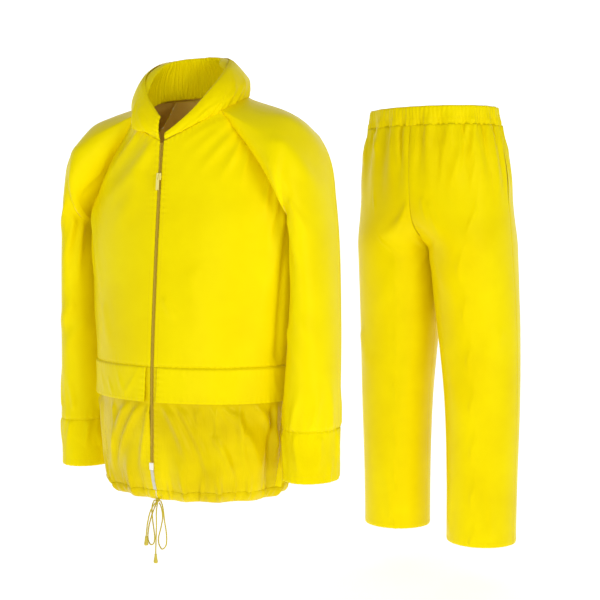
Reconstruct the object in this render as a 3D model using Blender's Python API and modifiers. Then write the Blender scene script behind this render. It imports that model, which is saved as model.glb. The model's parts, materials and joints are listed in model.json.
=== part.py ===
"""A two-piece rain suit in coated cloth, filled out as if worn: a raglan jacket with its hood packed
in the collar, and elasticated over-trousers beside it.

Each garment is modelled about its own upright axis, in metres: -Y is the wearer's front, +X the
wearer's left side, +Z up. An empty then turns it and sets it in its place. The jacket's own origin
is the middle of its neck opening, level with the tops of the shoulders, and the trousers' own
origin is the middle of the waistband's top edge.

Every cloth piece is a patch of a worked-out surface, given as points [row, column], and a wall is
grown outwards from it. Neighbouring patches share the surface and its normals, so their edges stay
parallel along a seam.
"""

from math import asin, atan2, cos, pi, radians, sin

import bmesh
import bpy
import numpy as np
from mathutils import Matrix

# Cloth and sewing
CLOTH = 0.0015
SEAM = 0.0004
LAYER = CLOTH + 0.0006
UNDERARM_STEP = CLOTH + 0.0012
FOLD_PUFF = 0.006

# How the two garments stand beside each other
JACKET_TURN = radians(28)
TROUSERS_TURN = radians(34)
TROUSERS_PLACE = (0.547, 0.550, 0.034)

# Jacket heights, from the level of the neck's sides
HEM_Z = -0.766
TUNNEL_Z = -0.748
FLAP_Z = -0.510
FLAP_DEPTH = 0.066
UNDERARM_Z = -0.225
SIDE_SEAM = radians(84)
RAGLAN_FRONT = radians(54)
RAGLAN_BACK = radians(128)
HEM_GATHERS = 17
GATHER_DEPTH = 0.0045
GATHER_RISE = 0.15

# Zip
CHAIN_HALF = 0.0025
FRONT_EDGE = 0.0036
TAPE_EDGE = 0.016
TAPE = 0.0010
TAPE_BEHIND = 0.0006
SLIDER_Z = -0.152
ZIP_END_Z = -0.692
FILM_DROP = 0.052

# Trousers heights, from the top of the waistband
BAND_HEIGHT = 0.042
WAIST_RIBS = 72
RIB_DEPTH = 0.0016
LEG_HEM_Z = -1.028
SLIT_LOW = -0.245
SLIT_TOP = -0.085
SLIT_OPEN = 0.008
WAIST_GATHERS = 20
WAIST_GATHER_DEPTH = 0.005

# Drawcord
CORD = 0.0026


def table(columns, *rows):
    """The rows of a short table as one array for each named column."""
    return dict(zip(columns.split(), np.array(rows, float).T))


# Sections of the jacket's body, hem to neck: an ellipse with its own depth in front and behind
BODY = table(
    "z half_width front back",
    (-0.766, 0.177, 0.132, 0.140),
    (-0.748, 0.186, 0.142, 0.150),
    (-0.718, 0.192, 0.152, 0.155),
    (-0.640, 0.200, 0.155, 0.152),
    (-0.540, 0.211, 0.154, 0.147),
    (-0.440, 0.218, 0.149, 0.142),
    (-0.340, 0.225, 0.141, 0.138),
    (-0.260, 0.229, 0.134, 0.136),
    (-0.200, 0.224, 0.128, 0.136),
    (-0.120, 0.186, 0.120, 0.133),
    (-0.060, 0.142, 0.111, 0.118),
    (0.000, 0.109, 0.098, 0.096),
    (0.020, 0.102, 0.092, 0.088),
)

# Height of the neck seam round the neck
NECK = table(
    "angle z",
    (0, -0.084),
    (54, -0.026),
    (90, 0.000),
    (128, 0.010),
    (180, 0.016),
)

# Rings of the left sleeve, shoulder to wrist, each an ellipse between its inner and its outer point
SLEEVE = table(
    "inner_x inner_z outer_x outer_z centre_y half_depth",
    (0.2370, -0.236, 0.205, -0.030, 0.002, 0.100),
    (0.2390, -0.248, 0.252, -0.070, 0.002, 0.092),
    (0.2400, -0.264, 0.279, -0.138, 0.001, 0.084),
    (0.2370, -0.310, 0.300, -0.270, 0.001, 0.075),
    (0.2300, -0.440, 0.314, -0.435, 0.000, 0.068),
    (0.2245, -0.560, 0.321, -0.560, -0.002, 0.064),
    (0.2240, -0.628, 0.324, -0.628, -0.004, 0.062),
    (0.2250, -0.724, 0.323, -0.724, -0.006, 0.058),
)
# How far each hand hangs forward of the middle (-Y), and up
LEFT_HANG = (-0.026, 0.006)
RIGHT_HANG = (0.010, -0.017)

# Height of the collar above the neck seam, and how far its top leans in
COLLAR = table(
    "angle height lean",
    (2, 0.012, 0.000),
    (20, 0.027, 0.002),
    (45, 0.054, 0.010),
    (68, 0.068, 0.022),
    (100, 0.072, 0.034),
    (140, 0.077, 0.030),
    (180, 0.079, 0.016),
    (230, 0.081, 0.014),
    (290, 0.074, 0.018),
    (325, 0.070, 0.016),
    (345, 0.060, 0.008),
    (358, 0.044, 0.002),
)

# The packed hood inside the collar: how thick the roll is, and how tall
HOOD = table(
    "angle half_thick half_height",
    (74, 0.006, 0.018),
    (90, 0.012, 0.028),
    (130, 0.014, 0.030),
    (180, 0.015, 0.030),
    (230, 0.015, 0.031),
    (280, 0.014, 0.030),
    (315, 0.011, 0.024),
    (338, 0.006, 0.015),
)

# Sections of one trouser leg, waist to hem. Closing is 90 degrees where the section is a quarter
# of the hips, and 180 where the crotch seam has closed it into a leg
LEG = table(
    "z inner outer front back middle closing",
    (-1.028, 0.046, 0.210, 0.080, 0.080, 0.000, 180),
    (-0.880, 0.044, 0.211, 0.082, 0.083, 0.000, 180),
    (-0.700, 0.034, 0.212, 0.087, 0.089, 0.000, 180),
    (-0.540, 0.015, 0.208, 0.097, 0.099, -0.002, 180),
    (-0.440, 0.004, 0.203, 0.107, 0.111, -0.007, 180),
    (-0.370, 0.001, 0.199, 0.115, 0.122, -0.012, 180),
    (-0.330, 0.0006, 0.197, 0.120, 0.128, -0.015, 174),
    (-0.308, 0.0004, 0.196, 0.123, 0.132, -0.017, 148),
    (-0.270, 0.0004, 0.194, 0.127, 0.136, -0.020, 115),
    (-0.220, 0.0004, 0.191, 0.130, 0.138, -0.023, 97),
    (-0.160, 0.0004, 0.188, 0.130, 0.138, -0.027, 90),
    (-0.090, 0.0004, 0.175, 0.123, 0.127, -0.032, 90),
    (-0.042, 0.0004, 0.163, 0.114, 0.116, -0.035, 90),
    (0.000, 0.0004, 0.158, 0.112, 0.114, -0.036, 90),
)
LEFT_STRIDE = -0.022
RIGHT_STRIDE = 0.028


# Curves and surfaces


def smooth(x, knots, values):
    """Cubic through the table's points, whose slope at each knot is the mean of the chords beside it."""
    x = np.clip(x, knots[0], knots[-1])
    chord = np.diff(values) / np.diff(knots)
    slope = np.concatenate([chord[:1], (chord[1:] + chord[:-1]) / 2, chord[-1:]])
    i = np.clip(np.searchsorted(knots, x) - 1, 0, len(knots) - 2)
    step = knots[i + 1] - knots[i]
    t = (x - knots[i]) / step
    start = values[i] * (1 + 2 * t) + slope[i] * step * t
    end = values[i + 1] * (3 - 2 * t) - slope[i + 1] * step * (1 - t)
    return start * (1 - t) ** 2 + end * t**2


def fade(x, start, end):
    """0 before start, 1 after end, and a smooth step between."""
    t = np.clip((x - start) / (end - start), 0, 1)
    return t * t * (3 - 2 * t)


def neck_height(angle):
    """Height of the neck seam at an angle from the front, the same on both sides."""
    degrees_round = np.degrees(np.abs((angle + pi) % (2 * pi) - pi))
    return smooth(degrees_round, NECK["angle"], NECK["z"])


def body_surface(angle, z):
    """Inner face of the jacket's body. Gathers stand out above the hem and fade upwards."""
    across, out = np.sin(angle), np.cos(angle)
    depth = np.where(out > 0, smooth(z, BODY["z"], BODY["front"]), smooth(z, BODY["z"], BODY["back"]))
    wave = np.cos(HEM_GATHERS * angle + 1.2 * np.sin(3 * angle))
    gather = GATHER_DEPTH * wave * (1 - fade(z, TUNNEL_Z, HEM_Z + GATHER_RISE))
    gather = gather * fade(np.abs(np.sin(angle / 2)), 0.02, 0.10)
    width = smooth(z, BODY["z"], BODY["half_width"])
    return np.stack([(width + gather) * across, -(depth + gather) * out, z + 0 * angle], axis=-1)


def leg_surface(turn, z, stride):
    """Inner face of a left trouser leg. Turn runs from 0 at the front crotch seam or inseam, by 0.5
    at the side seam, to 1 at the back one; the section opens out as the crotch seam closes."""
    front = turn < 0.5
    closing = np.radians(np.clip(smooth(z, LEG["z"], LEG["closing"]), 90, 180))
    facing_other_leg = np.clip(-np.cos(closing), 0, 1)
    inner = smooth(z, LEG["z"], LEG["inner"]) + CLOTH * facing_other_leg
    outer = smooth(z, LEG["z"], LEG["outer"])
    half = (outer - inner) / (1 - np.cos(closing))
    depth = np.where(front, smooth(z, LEG["z"], LEG["front"]), smooth(z, LEG["z"], LEG["back"]))
    round_leg = closing * (1 - 2 * np.where(front, turn, 1 - turn))
    wave = np.cos(WAIST_GATHERS * pi * (turn - 0.5) + 0.9 * np.sin(4 * pi * turn))
    gather = WAIST_GATHER_DEPTH * wave * fade(z, -0.26, -0.045) * fade(np.abs(turn - 0.5), 0.5, 0.47)
    x = inner + half * (np.cos(round_leg) - np.cos(closing))
    y = np.where(front, -1, 1) * (depth + gather) * np.sin(round_leg)
    x = x + gather * np.cos(round_leg)
    y = y + smooth(z, LEG["z"], LEG["middle"]) + stride * fade(z, -0.30, LEG_HEM_Z)
    return np.stack([x, y, z + 0 * turn], axis=-1)


def normals_of(surface, u, v, small=1e-4):
    """Outward unit normals of a surface: the cross product of its slopes along u and along v."""
    along_u = surface(u + small, v) - surface(u - small, v)
    along_v = surface(u, v + small) - surface(u, v - small)
    normal = np.cross(along_u, along_v)
    return normal / np.linalg.norm(normal, axis=-1, keepdims=True)


def grid_normals(points):
    """Outward unit normals of a closed tube given as rings [row, column], rows going up."""
    along_u = np.roll(points, -1, axis=1) - np.roll(points, 1, axis=1)
    normal = np.cross(along_u, np.gradient(points, axis=0))
    return normal / np.linalg.norm(normal, axis=-1, keepdims=True)


# Meshes


def material(name, color, roughness=0.45, metallic=0.0):
    """A plain finish for one kind of stuff."""
    made = bpy.data.materials.new(name)
    made.use_nodes = True
    shader = made.node_tree.nodes["Principled BSDF"]
    shader.inputs["Base Color"].default_value = (*color, 1)
    shader.inputs["Roughness"].default_value = roughness
    shader.inputs["Metallic"].default_value = metallic
    return made


def add_mesh(name, points, faces, stand, finish):
    """A named object under its garment's empty, shaded smooth but for its sharp edges."""
    mesh = bpy.data.meshes.new(name)
    mesh.from_pydata([tuple(p) for p in points], [], faces)
    made = bpy.data.objects.new(name, mesh)
    SUIT.objects.link(made)
    made.parent = stand
    mesh.materials.append(finish)
    mesh.shade_smooth()
    mesh.set_sharp_from_angle(angle=radians(40))
    return made


def wall(name, points, normals, stand, finish, inner=0.0, outer=CLOTH, closed=False):
    """A closed solid between two offsets of a patch. Rows run up and columns run anticlockwise, so
    the outer face points away from the wearer. A closed patch joins its last column to its first."""
    rows, columns = points.shape[:2]
    inner, outer = (np.broadcast_to(off, (rows, columns))[..., None] for off in (inner, outer))
    shell = np.concatenate([points + normals * outer, points + normals * inner]).reshape(-1, 3)
    index = np.arange(2 * rows * columns).reshape(2, rows, columns)
    if closed:
        index = np.concatenate([index, index[:, :, :1]], axis=2)
    out, back = index

    def strips(a, b):
        """Quads between two matching grids of corners."""
        return np.stack([a[:-1, :-1], a[:-1, 1:], b[1:, 1:], b[1:, :-1]], axis=-1).reshape(-1, 4)

    faces = [strips(out, out), strips(back, back)[:, ::-1]]
    rims = [(back[0], out[0]), (out[-1], back[-1])]
    if not closed:
        rims += [(out[:, 0], back[:, 0]), (back[:, -1], out[:, -1])]
    for low, high in rims:
        faces.append(np.stack([low[:-1], low[1:], high[1:], high[:-1]], axis=-1))
    return add_mesh(name, shell, np.concatenate(faces).tolist(), stand, finish)


def mirrored(points, normals):
    """The same patch on the wearer's right side, with its columns turned round to keep facing out."""
    flip = np.array([-1, 1, 1])
    return points[:, ::-1] * flip, normals[:, ::-1] * flip


def patch(angle, z):
    """A patch of the jacket's body and its normals."""
    return body_surface(angle, z), normals_of(body_surface, angle, z)


def both_sides(name, angle, z, stand, finish, **offsets):
    """One wall on the wearer's left and its mirror on the right."""
    left = patch(angle, z)
    wall(f"{name}_left", *left, stand, finish, **offsets)
    wall(f"{name}_right", *mirrored(*left), stand, finish, **offsets)


def angle_at(x, z):
    """Angle from the front at which the body's section has this x."""
    return np.arcsin(x / smooth(z, BODY["z"], BODY["half_width"]))


# Jacket


def raglan_rows():
    """Share of the way from the underarm to the neck of each row that meets the sleeve."""
    return np.linspace(0, 1, 8)


def raglan_angle(share, top):
    """Angle of the raglan seam: it leaves the side seam and bends towards the neck."""
    return SIDE_SEAM + (top - SIDE_SEAM) * share**0.9


def front_edge(z):
    """Half the gap between the fronts: the width of the chain, and a little more above the slider."""
    return FRONT_EDGE + 0.004 * fade(z, SLIDER_Z + 0.01, -0.08)


LOWER_ROWS = np.array([TUNNEL_Z + 2 * SEAM, -0.728, -0.700, -0.660, -0.615, -0.565, FLAP_Z])
UPPER_ROWS = np.linspace(FLAP_Z + SEAM, UNDERARM_Z, 5)[:-1]


def upper_front(stand, finish):
    """From the pocket seam up to the armhole level, then between the raglan seam and the opening."""
    side = UPPER_ROWS
    share = np.concatenate([np.zeros(len(side)), raglan_rows()])[:, None]
    across = np.linspace(0, 1, 14)[None, :] ** 1.2
    top = neck_height(RAGLAN_FRONT * across) - SEAM
    z = UNDERARM_Z + (top - UNDERARM_Z) * share
    z[: len(side)] = side[:, None]
    outer = raglan_angle(share, RAGLAN_FRONT) - SEAM / BODY["half_width"].max() * 2
    inner = angle_at(front_edge(z), z)
    both_sides("front_upper", inner + (outer - inner) * across, z, stand, finish)


def lower_front(stand, finish):
    """The gathered skirt of each front, between the pocket seam and the drawcord tunnel."""
    z = LOWER_ROWS[:, None]
    across = np.linspace(0, 1, 22)[None, :]
    outer = SIDE_SEAM - SEAM / BODY["half_width"].max() * 2
    inner = angle_at(front_edge(z), z)
    both_sides("front_lower", inner + (outer - inner) * across, z + 0 * across, stand, finish)


def back(stand, finish):
    """One piece from side seam to side seam, and between the raglan seams up to the neck."""
    side = np.array([TUNNEL_Z + 2 * SEAM, -0.728, -0.700, -0.660, -0.600, -0.480, -0.350])
    share = np.concatenate([np.zeros(len(side)), raglan_rows()])[:, None]
    across = np.linspace(0, 1, 39)[None, :]
    edge = raglan_angle(share, RAGLAN_BACK) + SEAM / BODY["half_width"].max() * 2
    angle = edge + (2 * pi - 2 * edge) * across
    top = neck_height(RAGLAN_BACK + (2 * pi - 2 * RAGLAN_BACK) * across) - SEAM
    z = UNDERARM_Z + (top - UNDERARM_Z) * share
    z[: len(side)] = side[:, None]
    wall("back", *patch(angle, z), stand, finish)


def sleeve_points(hang):
    """Rings of the left sleeve from the wrist up to the raglan seam, each starting at the underarm and
    going round by the front, and the normals along that seam: the body's own, but straight down at
    the underarm, where the sleeve folds back beside the body. Clear is the way out of that fold."""
    share = raglan_rows()
    neck = np.linspace(RAGLAN_FRONT, RAGLAN_BACK, 8)[1:-1]
    front, rear = raglan_angle(share, RAGLAN_FRONT), raglan_angle(share, RAGLAN_BACK)[::-1]
    z = UNDERARM_Z + (neck_height(RAGLAN_FRONT) - SEAM - UNDERARM_Z) * share
    z_rear = UNDERARM_Z + (neck_height(RAGLAN_BACK) - SEAM - UNDERARM_Z) * share[::-1]
    angle = np.concatenate([front, neck, rear[:-1]])
    height = np.concatenate([z, neck_height(neck) - SEAM, z_rear[:-1]])
    seam = body_surface(angle, height)
    turn = 2 * pi * np.arange(len(angle)) / len(angle)
    inner = np.stack([SLEEVE["inner_x"], SLEEVE["centre_y"], SLEEVE["inner_z"]], axis=-1)[:, None]
    outer = np.stack([SLEEVE["outer_x"], SLEEVE["centre_y"], SLEEVE["outer_z"]], axis=-1)[:, None]
    rings = (inner + outer) / 2 + (inner - outer) / 2 * np.cos(turn)[None, :, None]
    rings[..., 1] -= SLEEVE["half_depth"][:, None] * np.sin(turn)
    down = fade(SLEEVE["inner_z"], -0.24, -0.70)[:, None]
    rings[..., 1] += hang[0] * down
    rings[..., 2] += hang[1] * down
    seam_normals = normals_of(body_surface, angle, height)
    facing = (grid_normals(rings[::-1])[-1] * seam_normals).sum(axis=-1, keepdims=True)
    folded = fade(-facing, -0.2, 0.5)
    clear = seam_normals * folded
    seam = seam + clear * UNDERARM_STEP
    seam_normals = seam_normals * (1 - folded) - np.array([0, 0, 1]) * folded
    seam_normals /= np.linalg.norm(seam_normals, axis=-1, keepdims=True)
    return np.concatenate([seam[None], rings])[::-1], seam_normals, clear


def along_sleeve(rings, places):
    """Rings at any places between the given ones, counted from the wrist."""
    knots = np.arange(len(rings), dtype=float)
    columns = rings.reshape(len(rings), -1).T
    between = np.stack([smooth(places, knots, column) for column in columns], axis=-1)
    return between.reshape(-1, *rings.shape[1:])


def sleeve_and_cuff(stand, finish):
    """The raglan sleeve and the deep cuff sewn to its end."""
    for side, hang in (("left", LEFT_HANG), ("right", RIGHT_HANG)):
        rings, seam_normals, clear = sleeve_points(hang)
        places = np.array([1, 2, 3, 4, 5, 6, 6.5, 7, 7.35, 7.7, 8])
        sleeve = along_sleeve(rings, places)
        puff = FOLD_PUFF * np.sin(pi * np.clip(places - 7, 0, 1))
        sleeve = sleeve + clear * puff[:, None, None]
        sleeve_normals = grid_normals(sleeve)
        sleeve_normals[-1] = seam_normals
        cuff = along_sleeve(rings, np.array([0, 0.5, 1 - SEAM / 0.098]))
        cuff_normals = grid_normals(cuff)
        for name, points, facing in (("sleeve", sleeve, sleeve_normals), ("cuff", cuff, cuff_normals)):
            given = (points, facing) if side == "left" else mirrored(points, facing)
            wall(f"{name}_{side}", *given, stand, finish, closed=True)


def collar_surface(angle, rise):
    """Inner face of the collar: it stands on the neck seam and leans in towards its top."""
    base = body_surface(angle, neck_height(angle) + SEAM)
    degrees_round = np.degrees(angle)
    height = smooth(degrees_round, COLLAR["angle"], COLLAR["height"])
    lean = smooth(degrees_round, COLLAR["angle"], COLLAR["lean"])
    outwards = base * np.array([1, 1, 0])
    outwards = outwards / np.linalg.norm(outwards, axis=-1, keepdims=True)
    bow = 0.010 * np.sin(pi * rise) * np.clip(height / 0.1, 0, 1)
    return base + outwards * (bow - lean * rise**2)[..., None] + np.array([0, 0, 1]) * (height * rise)[..., None]


def collar(stand, finish):
    """The standing collar, low at the wearer's left front and tall round the back."""
    rise = np.linspace(0, 1, 5)[:, None]
    angle = np.radians(np.linspace(COLLAR["angle"][0], COLLAR["angle"][-1], 37))[None, :]
    angle, rise = np.broadcast_arrays(angle, rise)
    normals = normals_of(collar_surface, angle, rise)
    normals[0] = normals_of(body_surface, angle[0], neck_height(angle[0]))
    wall("collar", collar_surface(angle, rise), normals, stand, finish)


def packed_hood(stand, finish):
    """The hood rolled up inside the collar, as one soft roll that follows it."""
    angle = np.radians(np.linspace(HOOD["angle"][0], HOOD["angle"][-1], 27))[None, :]
    turn = np.linspace(0, 2 * pi, 11)[:-1, None]
    degrees_round = np.degrees(angle)
    thick = smooth(degrees_round, HOOD["angle"], HOOD["half_thick"])
    tall = smooth(degrees_round, HOOD["angle"], HOOD["half_height"])
    height = smooth(degrees_round, COLLAR["angle"], COLLAR["height"])
    middle = np.clip(1 - (tall + 0.004) / height, 0.3, 0.8)
    rise = middle + tall / height * np.sin(turn)
    skin = collar_surface(angle + 0 * turn, np.clip(rise, 0, 1))
    inwards = -skin * np.array([1, 1, 0])
    inwards = inwards / np.linalg.norm(inwards, axis=-1, keepdims=True)
    depth = 0.0012 + thick * (1 + np.cos(turn))
    points = (skin + inwards * depth[..., None]).transpose(1, 0, 2)
    rings, around = points.shape[:2]
    index = np.arange(rings * around).reshape(rings, around)
    after = np.roll(index, -1, axis=1)
    sides = np.stack([index[:-1], after[:-1], after[1:], index[1:]], axis=-1).reshape(-1, 4)
    ends = [index[0][::-1].tolist(), index[-1].tolist()]
    made = add_mesh("hood_roll", points.reshape(-1, 3), sides.tolist() + ends, stand, finish)
    close_and_face_out(made)


def close_and_face_out(made):
    """Merges doubled points and turns every face outwards."""
    mesh = bmesh.new()
    mesh.from_mesh(made.data)
    bmesh.ops.remove_doubles(mesh, verts=mesh.verts, dist=1e-6)
    bmesh.ops.recalc_face_normals(mesh, faces=mesh.faces)
    mesh.to_mesh(made.data)
    mesh.free()


def pocket_flaps(stand, finish):
    """A flap across each front, sewn in the pocket seam, its lower edge standing a little proud."""
    down = np.linspace(1, 0, 4)[:, None]
    across = np.linspace(0, 1, 20)[None, :]
    z = FLAP_Z - FLAP_DEPTH * down + 0 * across
    inner = angle_at(0.0125, z)
    angle = inner + (SIDE_SEAM - 0.02 - inner) * across
    proud = LAYER + 0.004 * down**1.5 + 0 * across
    both_sides("flap", angle, z, stand, finish, inner=proud, outer=proud + CLOTH)


def hem_tunnel(stand, finish):
    """The band that carries the drawcord, from one front edge round the back to the other."""
    z = np.array([HEM_Z, TUNNEL_Z])[:, None]
    start = angle_at(0.0050, HEM_Z)
    angle = start + (2 * pi - 2 * start) * np.linspace(0, 1, 73)[None, :]
    wall("hem_tunnel", *patch(angle + 0 * z, z + 0 * angle), stand, finish, outer=2 * CLOTH)


def zip_rows(ends):
    """The heights of the fronts' own rows between two ends, with the ends."""
    upper = UNDERARM_Z + (neck_height(0.0) - SEAM - UNDERARM_Z) * raglan_rows()
    rows = np.concatenate([LOWER_ROWS, UPPER_ROWS, upper])
    inside = rows[(rows > ends[0] + 0.002) & (rows < ends[1] - 0.002)]
    return np.array([ends[0], *inside, ends[1]])


def zip_strip(name, edges, ends, stand, finish, inner, outer):
    """A strip of the zip on the body's surface, between two distances from the middle."""
    z = zip_rows(ends)[:, None]
    x = np.array(edges)[None, :]
    wall(name, *patch(angle_at(x, z), z + 0 * x), stand, finish, inner=inner, outer=outer)


def zip_closure(stand, tape, teeth, film):
    """Tapes behind the fronts, the closed chain, its open rows above the slider and its bottom end."""
    top = neck_height(0.0) - 0.004
    for side, sign in (("left", 1), ("right", -1)):
        edges = sorted([sign * (CHAIN_HALF + 0.0003), sign * TAPE_EDGE])
        zip_strip(f"zip_tape_{side}", edges, (ZIP_END_Z, top), stand, tape, -TAPE_BEHIND - TAPE, -TAPE_BEHIND)
        edges = sorted([sign * 0.0004, sign * CHAIN_HALF])
        zip_strip(f"zip_row_{side}", edges, (SLIDER_Z + 0.008, top), stand, teeth, 0.0, 0.0018)
    edges = (-CHAIN_HALF, 0.0, CHAIN_HALF)
    zip_strip("zip_chain", edges, (ZIP_END_Z + 0.0003, SLIDER_Z + 0.0075), stand, teeth, 0.0, 0.0018)
    ends = (ZIP_END_Z - 0.0130, ZIP_END_Z)
    zip_strip("zip_box", (-0.0042, 0.0042), ends, stand, film, LAYER, LAYER + 0.0022)
    ends = (ZIP_END_Z - FILM_DROP, ZIP_END_Z - 0.0133)
    zip_strip("zip_film", (-0.0032, 0.0032), ends, stand, film, LAYER, LAYER + 0.0010)


def front_frame(z):
    """Place and lean of the front at the zip: local +X along the slider, -Y out of the cloth, +Z up it."""
    here, above = body_surface(0.0, z - 0.005), body_surface(0.0, z + 0.005)
    lean = atan2(here[1] - above[1], above[2] - here[2])
    middle = (here + above) / 2
    return Matrix.Translation(tuple(middle)) @ Matrix.Rotation(lean, 4, "X")


def box_mesh(sizes, at):
    """A box of the given sizes, in a bmesh of its own."""
    made = bmesh.new()
    place = Matrix.Translation(at) @ Matrix.Diagonal((*sizes, 1))
    bmesh.ops.create_cube(made, size=1, matrix=place)
    return made


def hard_piece(name, pieces, place, stand, finish, bevel):
    """Boxes joined by Boolean unions and given rounded edges."""
    objects = []
    for i, shape in enumerate(pieces):
        mesh = bpy.data.meshes.new(f"{name}_{i}")
        shape.to_mesh(mesh)
        shape.free()
        objects.append(bpy.data.objects.new(name if i == 0 else f"{name}_{i}", mesh))
    made = objects[0]
    SUIT.objects.link(made)
    for other in objects[1:]:
        CUTTERS.objects.link(other)
        other.hide_render = True
        other.display_type = "WIRE"
        other.parent = stand
        other.matrix_local = place
        join = made.modifiers.new("join", "BOOLEAN")
        join.operation = "UNION"
        join.object = other
    round_off = made.modifiers.new("round", "BEVEL")
    round_off.width = bevel
    round_off.segments = 1
    round_off.limit_method = "ANGLE"
    made.parent = stand
    made.matrix_local = place
    made.data.materials.append(finish)
    return made


BRIDGE_OUT = 0.0088
BRIDGE_BAR = 0.0012
PIVOT_OUT = 0.0070


def slider_and_pull(stand, metal):
    """The slider, with a bridge that stands out of it, and the pull whose top bar turns under it."""
    place = front_frame(SLIDER_Z)
    body = box_mesh((0.0092, 0.0030, 0.0130), (0, -0.0037, 0))
    legs = [box_mesh((0.0022, 0.0042, 0.0014), (0, -0.0066, z)) for z in (-0.0036, 0.0036)]
    bar = box_mesh((0.0022, BRIDGE_BAR, 0.0086), (0, -BRIDGE_OUT, 0))
    hard_piece("zip_slider", [body, *legs, bar], place, stand, metal, 0.0003)
    top = box_mesh((0.0064, 0.0010, 0.0010), (0, 0, 0))
    arms = [box_mesh((0.0014, 0.0010, 0.0074), (x, 0, -0.0034)) for x in (-0.0025, 0.0025)]
    plate = box_mesh((0.0064, 0.0010, 0.0200), (0, 0, -0.0160))
    pivot = place @ Matrix.Translation((0, -PIVOT_OUT, 0))
    hard_piece("zip_pull", [plate, *arms, top], pivot, stand, metal, 0.0002)


# Drawcord

# Route points of the bow at the jacket's front, from the knot: x to the wearer's left, out, down
LOOP_LEFT = (
    (0.0070, 0.000, 0.000),
    (0.0130, 0.003, -0.008),
    (0.019, 0.005, -0.036),
    (0.023, 0.004, -0.068),
    (0.020, 0.003, -0.086),
    (0.011, 0.002, -0.093),
    (0.003, 0.000, -0.086),
    (0.001, -0.001, -0.074),
    (0.006, -0.002, -0.053),
    (0.010, -0.002, -0.032),
    (0.0070, -0.002, -0.014),
    (0.0030, -0.0015, -0.0048),
)
LOOP_RIGHT = (
    (-0.0070, 0.000, 0.000),
    (-0.0100, 0.003, -0.010),
    (-0.009, 0.004, -0.038),
    (-0.006, 0.004, -0.058),
    (-0.006, 0.002, -0.076),
    (-0.010, 0.001, -0.086),
    (-0.017, 0.000, -0.088),
    (-0.023, -0.001, -0.080),
    (-0.023, -0.002, -0.060),
    (-0.018, -0.003, -0.038),
    (-0.0090, -0.003, -0.016),
    (-0.0030, -0.0015, -0.0048),
)
END_LEFT = (
    (0.0022, 0.0030, -0.0039),
    (0.0035, 0.009, -0.018),
    (0.004, 0.010, -0.045),
    (0.002, 0.009, -0.075),
    (0.001, 0.009, -0.102),
)
END_RIGHT = (
    (-0.0022, 0.0030, -0.0039),
    (-0.008, 0.010, -0.017),
    (-0.015, 0.011, -0.040),
    (-0.020, 0.010, -0.070),
)
KNOT_DOWN = -0.001
KNOT_OUT = 0.0065
BELL_LENGTH = 0.017
BELL_TOP = 0.0024
BELL_WIDE = 0.0042


def knot_place():
    """Where the bow is tied: in front of the hem, just below the zip's end."""
    middle = body_surface(0.0, HEM_Z)
    return np.array([0, middle[1] - KNOT_OUT, HEM_Z + KNOT_DOWN])


def route(points, spacing):
    """Points at even spacing along a smooth curve through the given ones, and the given ones' frame."""
    points = np.array(points) * np.array([1, -1, 1]) + knot_place()
    lengths = np.concatenate([[0], np.cumsum(np.linalg.norm(np.diff(points, axis=0), axis=1))])
    fine = np.linspace(0, lengths[-1], 400)
    curve = np.stack([smooth(fine, lengths, column) for column in points.T], axis=-1)
    run = np.concatenate([[0], np.cumsum(np.linalg.norm(np.diff(curve, axis=0), axis=1))])
    places = np.linspace(0, run[-1], max(3, round(run[-1] / spacing)))
    return np.stack([np.interp(places, run, column) for column in curve.T], axis=-1)


def cord(name, points, stand, finish):
    """A round cord along its route, with closed ends."""
    data = bpy.data.curves.new(name, "CURVE")
    data.dimensions = "3D"
    data.bevel_depth = CORD / 2
    data.bevel_resolution = 2
    data.use_fill_caps = True
    spline = data.splines.new("POLY")
    spline.points.add(len(points) - 1)
    spline.points.foreach_set("co", np.c_[points, np.ones(len(points))].ravel())
    made = bpy.data.objects.new(name, data)
    SUIT.objects.link(made)
    made.parent = stand
    data.materials.append(finish)


def turned(name, profile, place, stand, finish):
    """A turned piece: its profile, from the top down, swept round the upright axis."""
    mesh = bpy.data.meshes.new(name)
    mesh.from_pydata([(r, 0, z) for r, z in profile], [(i, i + 1) for i in range(len(profile) - 1)], [])
    made = bpy.data.objects.new(name, mesh)
    SUIT.objects.link(made)
    spin = made.modifiers.new("turn", "SCREW")
    spin.steps = spin.render_steps = 14
    spin.use_merge_vertices = True
    spin.merge_threshold = 1e-5
    made.parent = stand
    made.matrix_local = Matrix.Translation(tuple(place))
    mesh.materials.append(finish)


def drawcord(stand, finish, bell):
    """A bow at the front of the hem: its knot, two loops, and two ends that each carry a bell."""
    spacing = 3.5 * CORD
    for side, loop, end in (("left", LOOP_LEFT, END_LEFT), ("right", LOOP_RIGHT, END_RIGHT)):
        cord(f"cord_loop_{side}", route(loop, spacing), stand, finish)
        down = route(end, spacing)
        cord(f"cord_end_{side}", down, stand, finish)
        top = down[-1] - np.array([0, 0, 0.0003])
        profile = (
            (0, 0),
            (BELL_TOP, 0),
            (BELL_TOP * 1.1, -0.3 * BELL_LENGTH),
            (BELL_WIDE, -0.85 * BELL_LENGTH),
            (BELL_WIDE * 0.9, -BELL_LENGTH),
            (0, -BELL_LENGTH),
        )
        turned(f"cord_bell_{side}", profile, top, stand, bell)
    profile = [(0.0056 * sin(a), 0.0038 * cos(a)) for a in np.linspace(0, pi, 8)]
    turned("cord_knot", profile, knot_place(), stand, finish)


# Trousers


def leg_patch(turn, z, stride, side):
    """A patch of one leg and its normals; the right leg is the left one mirrored."""
    def surface(u, v):
        return leg_surface(u, v, stride)

    points, normals = surface(turn, z), normals_of(surface, turn, z)
    return (points, normals) if side == "left" else mirrored(points, normals)


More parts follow.
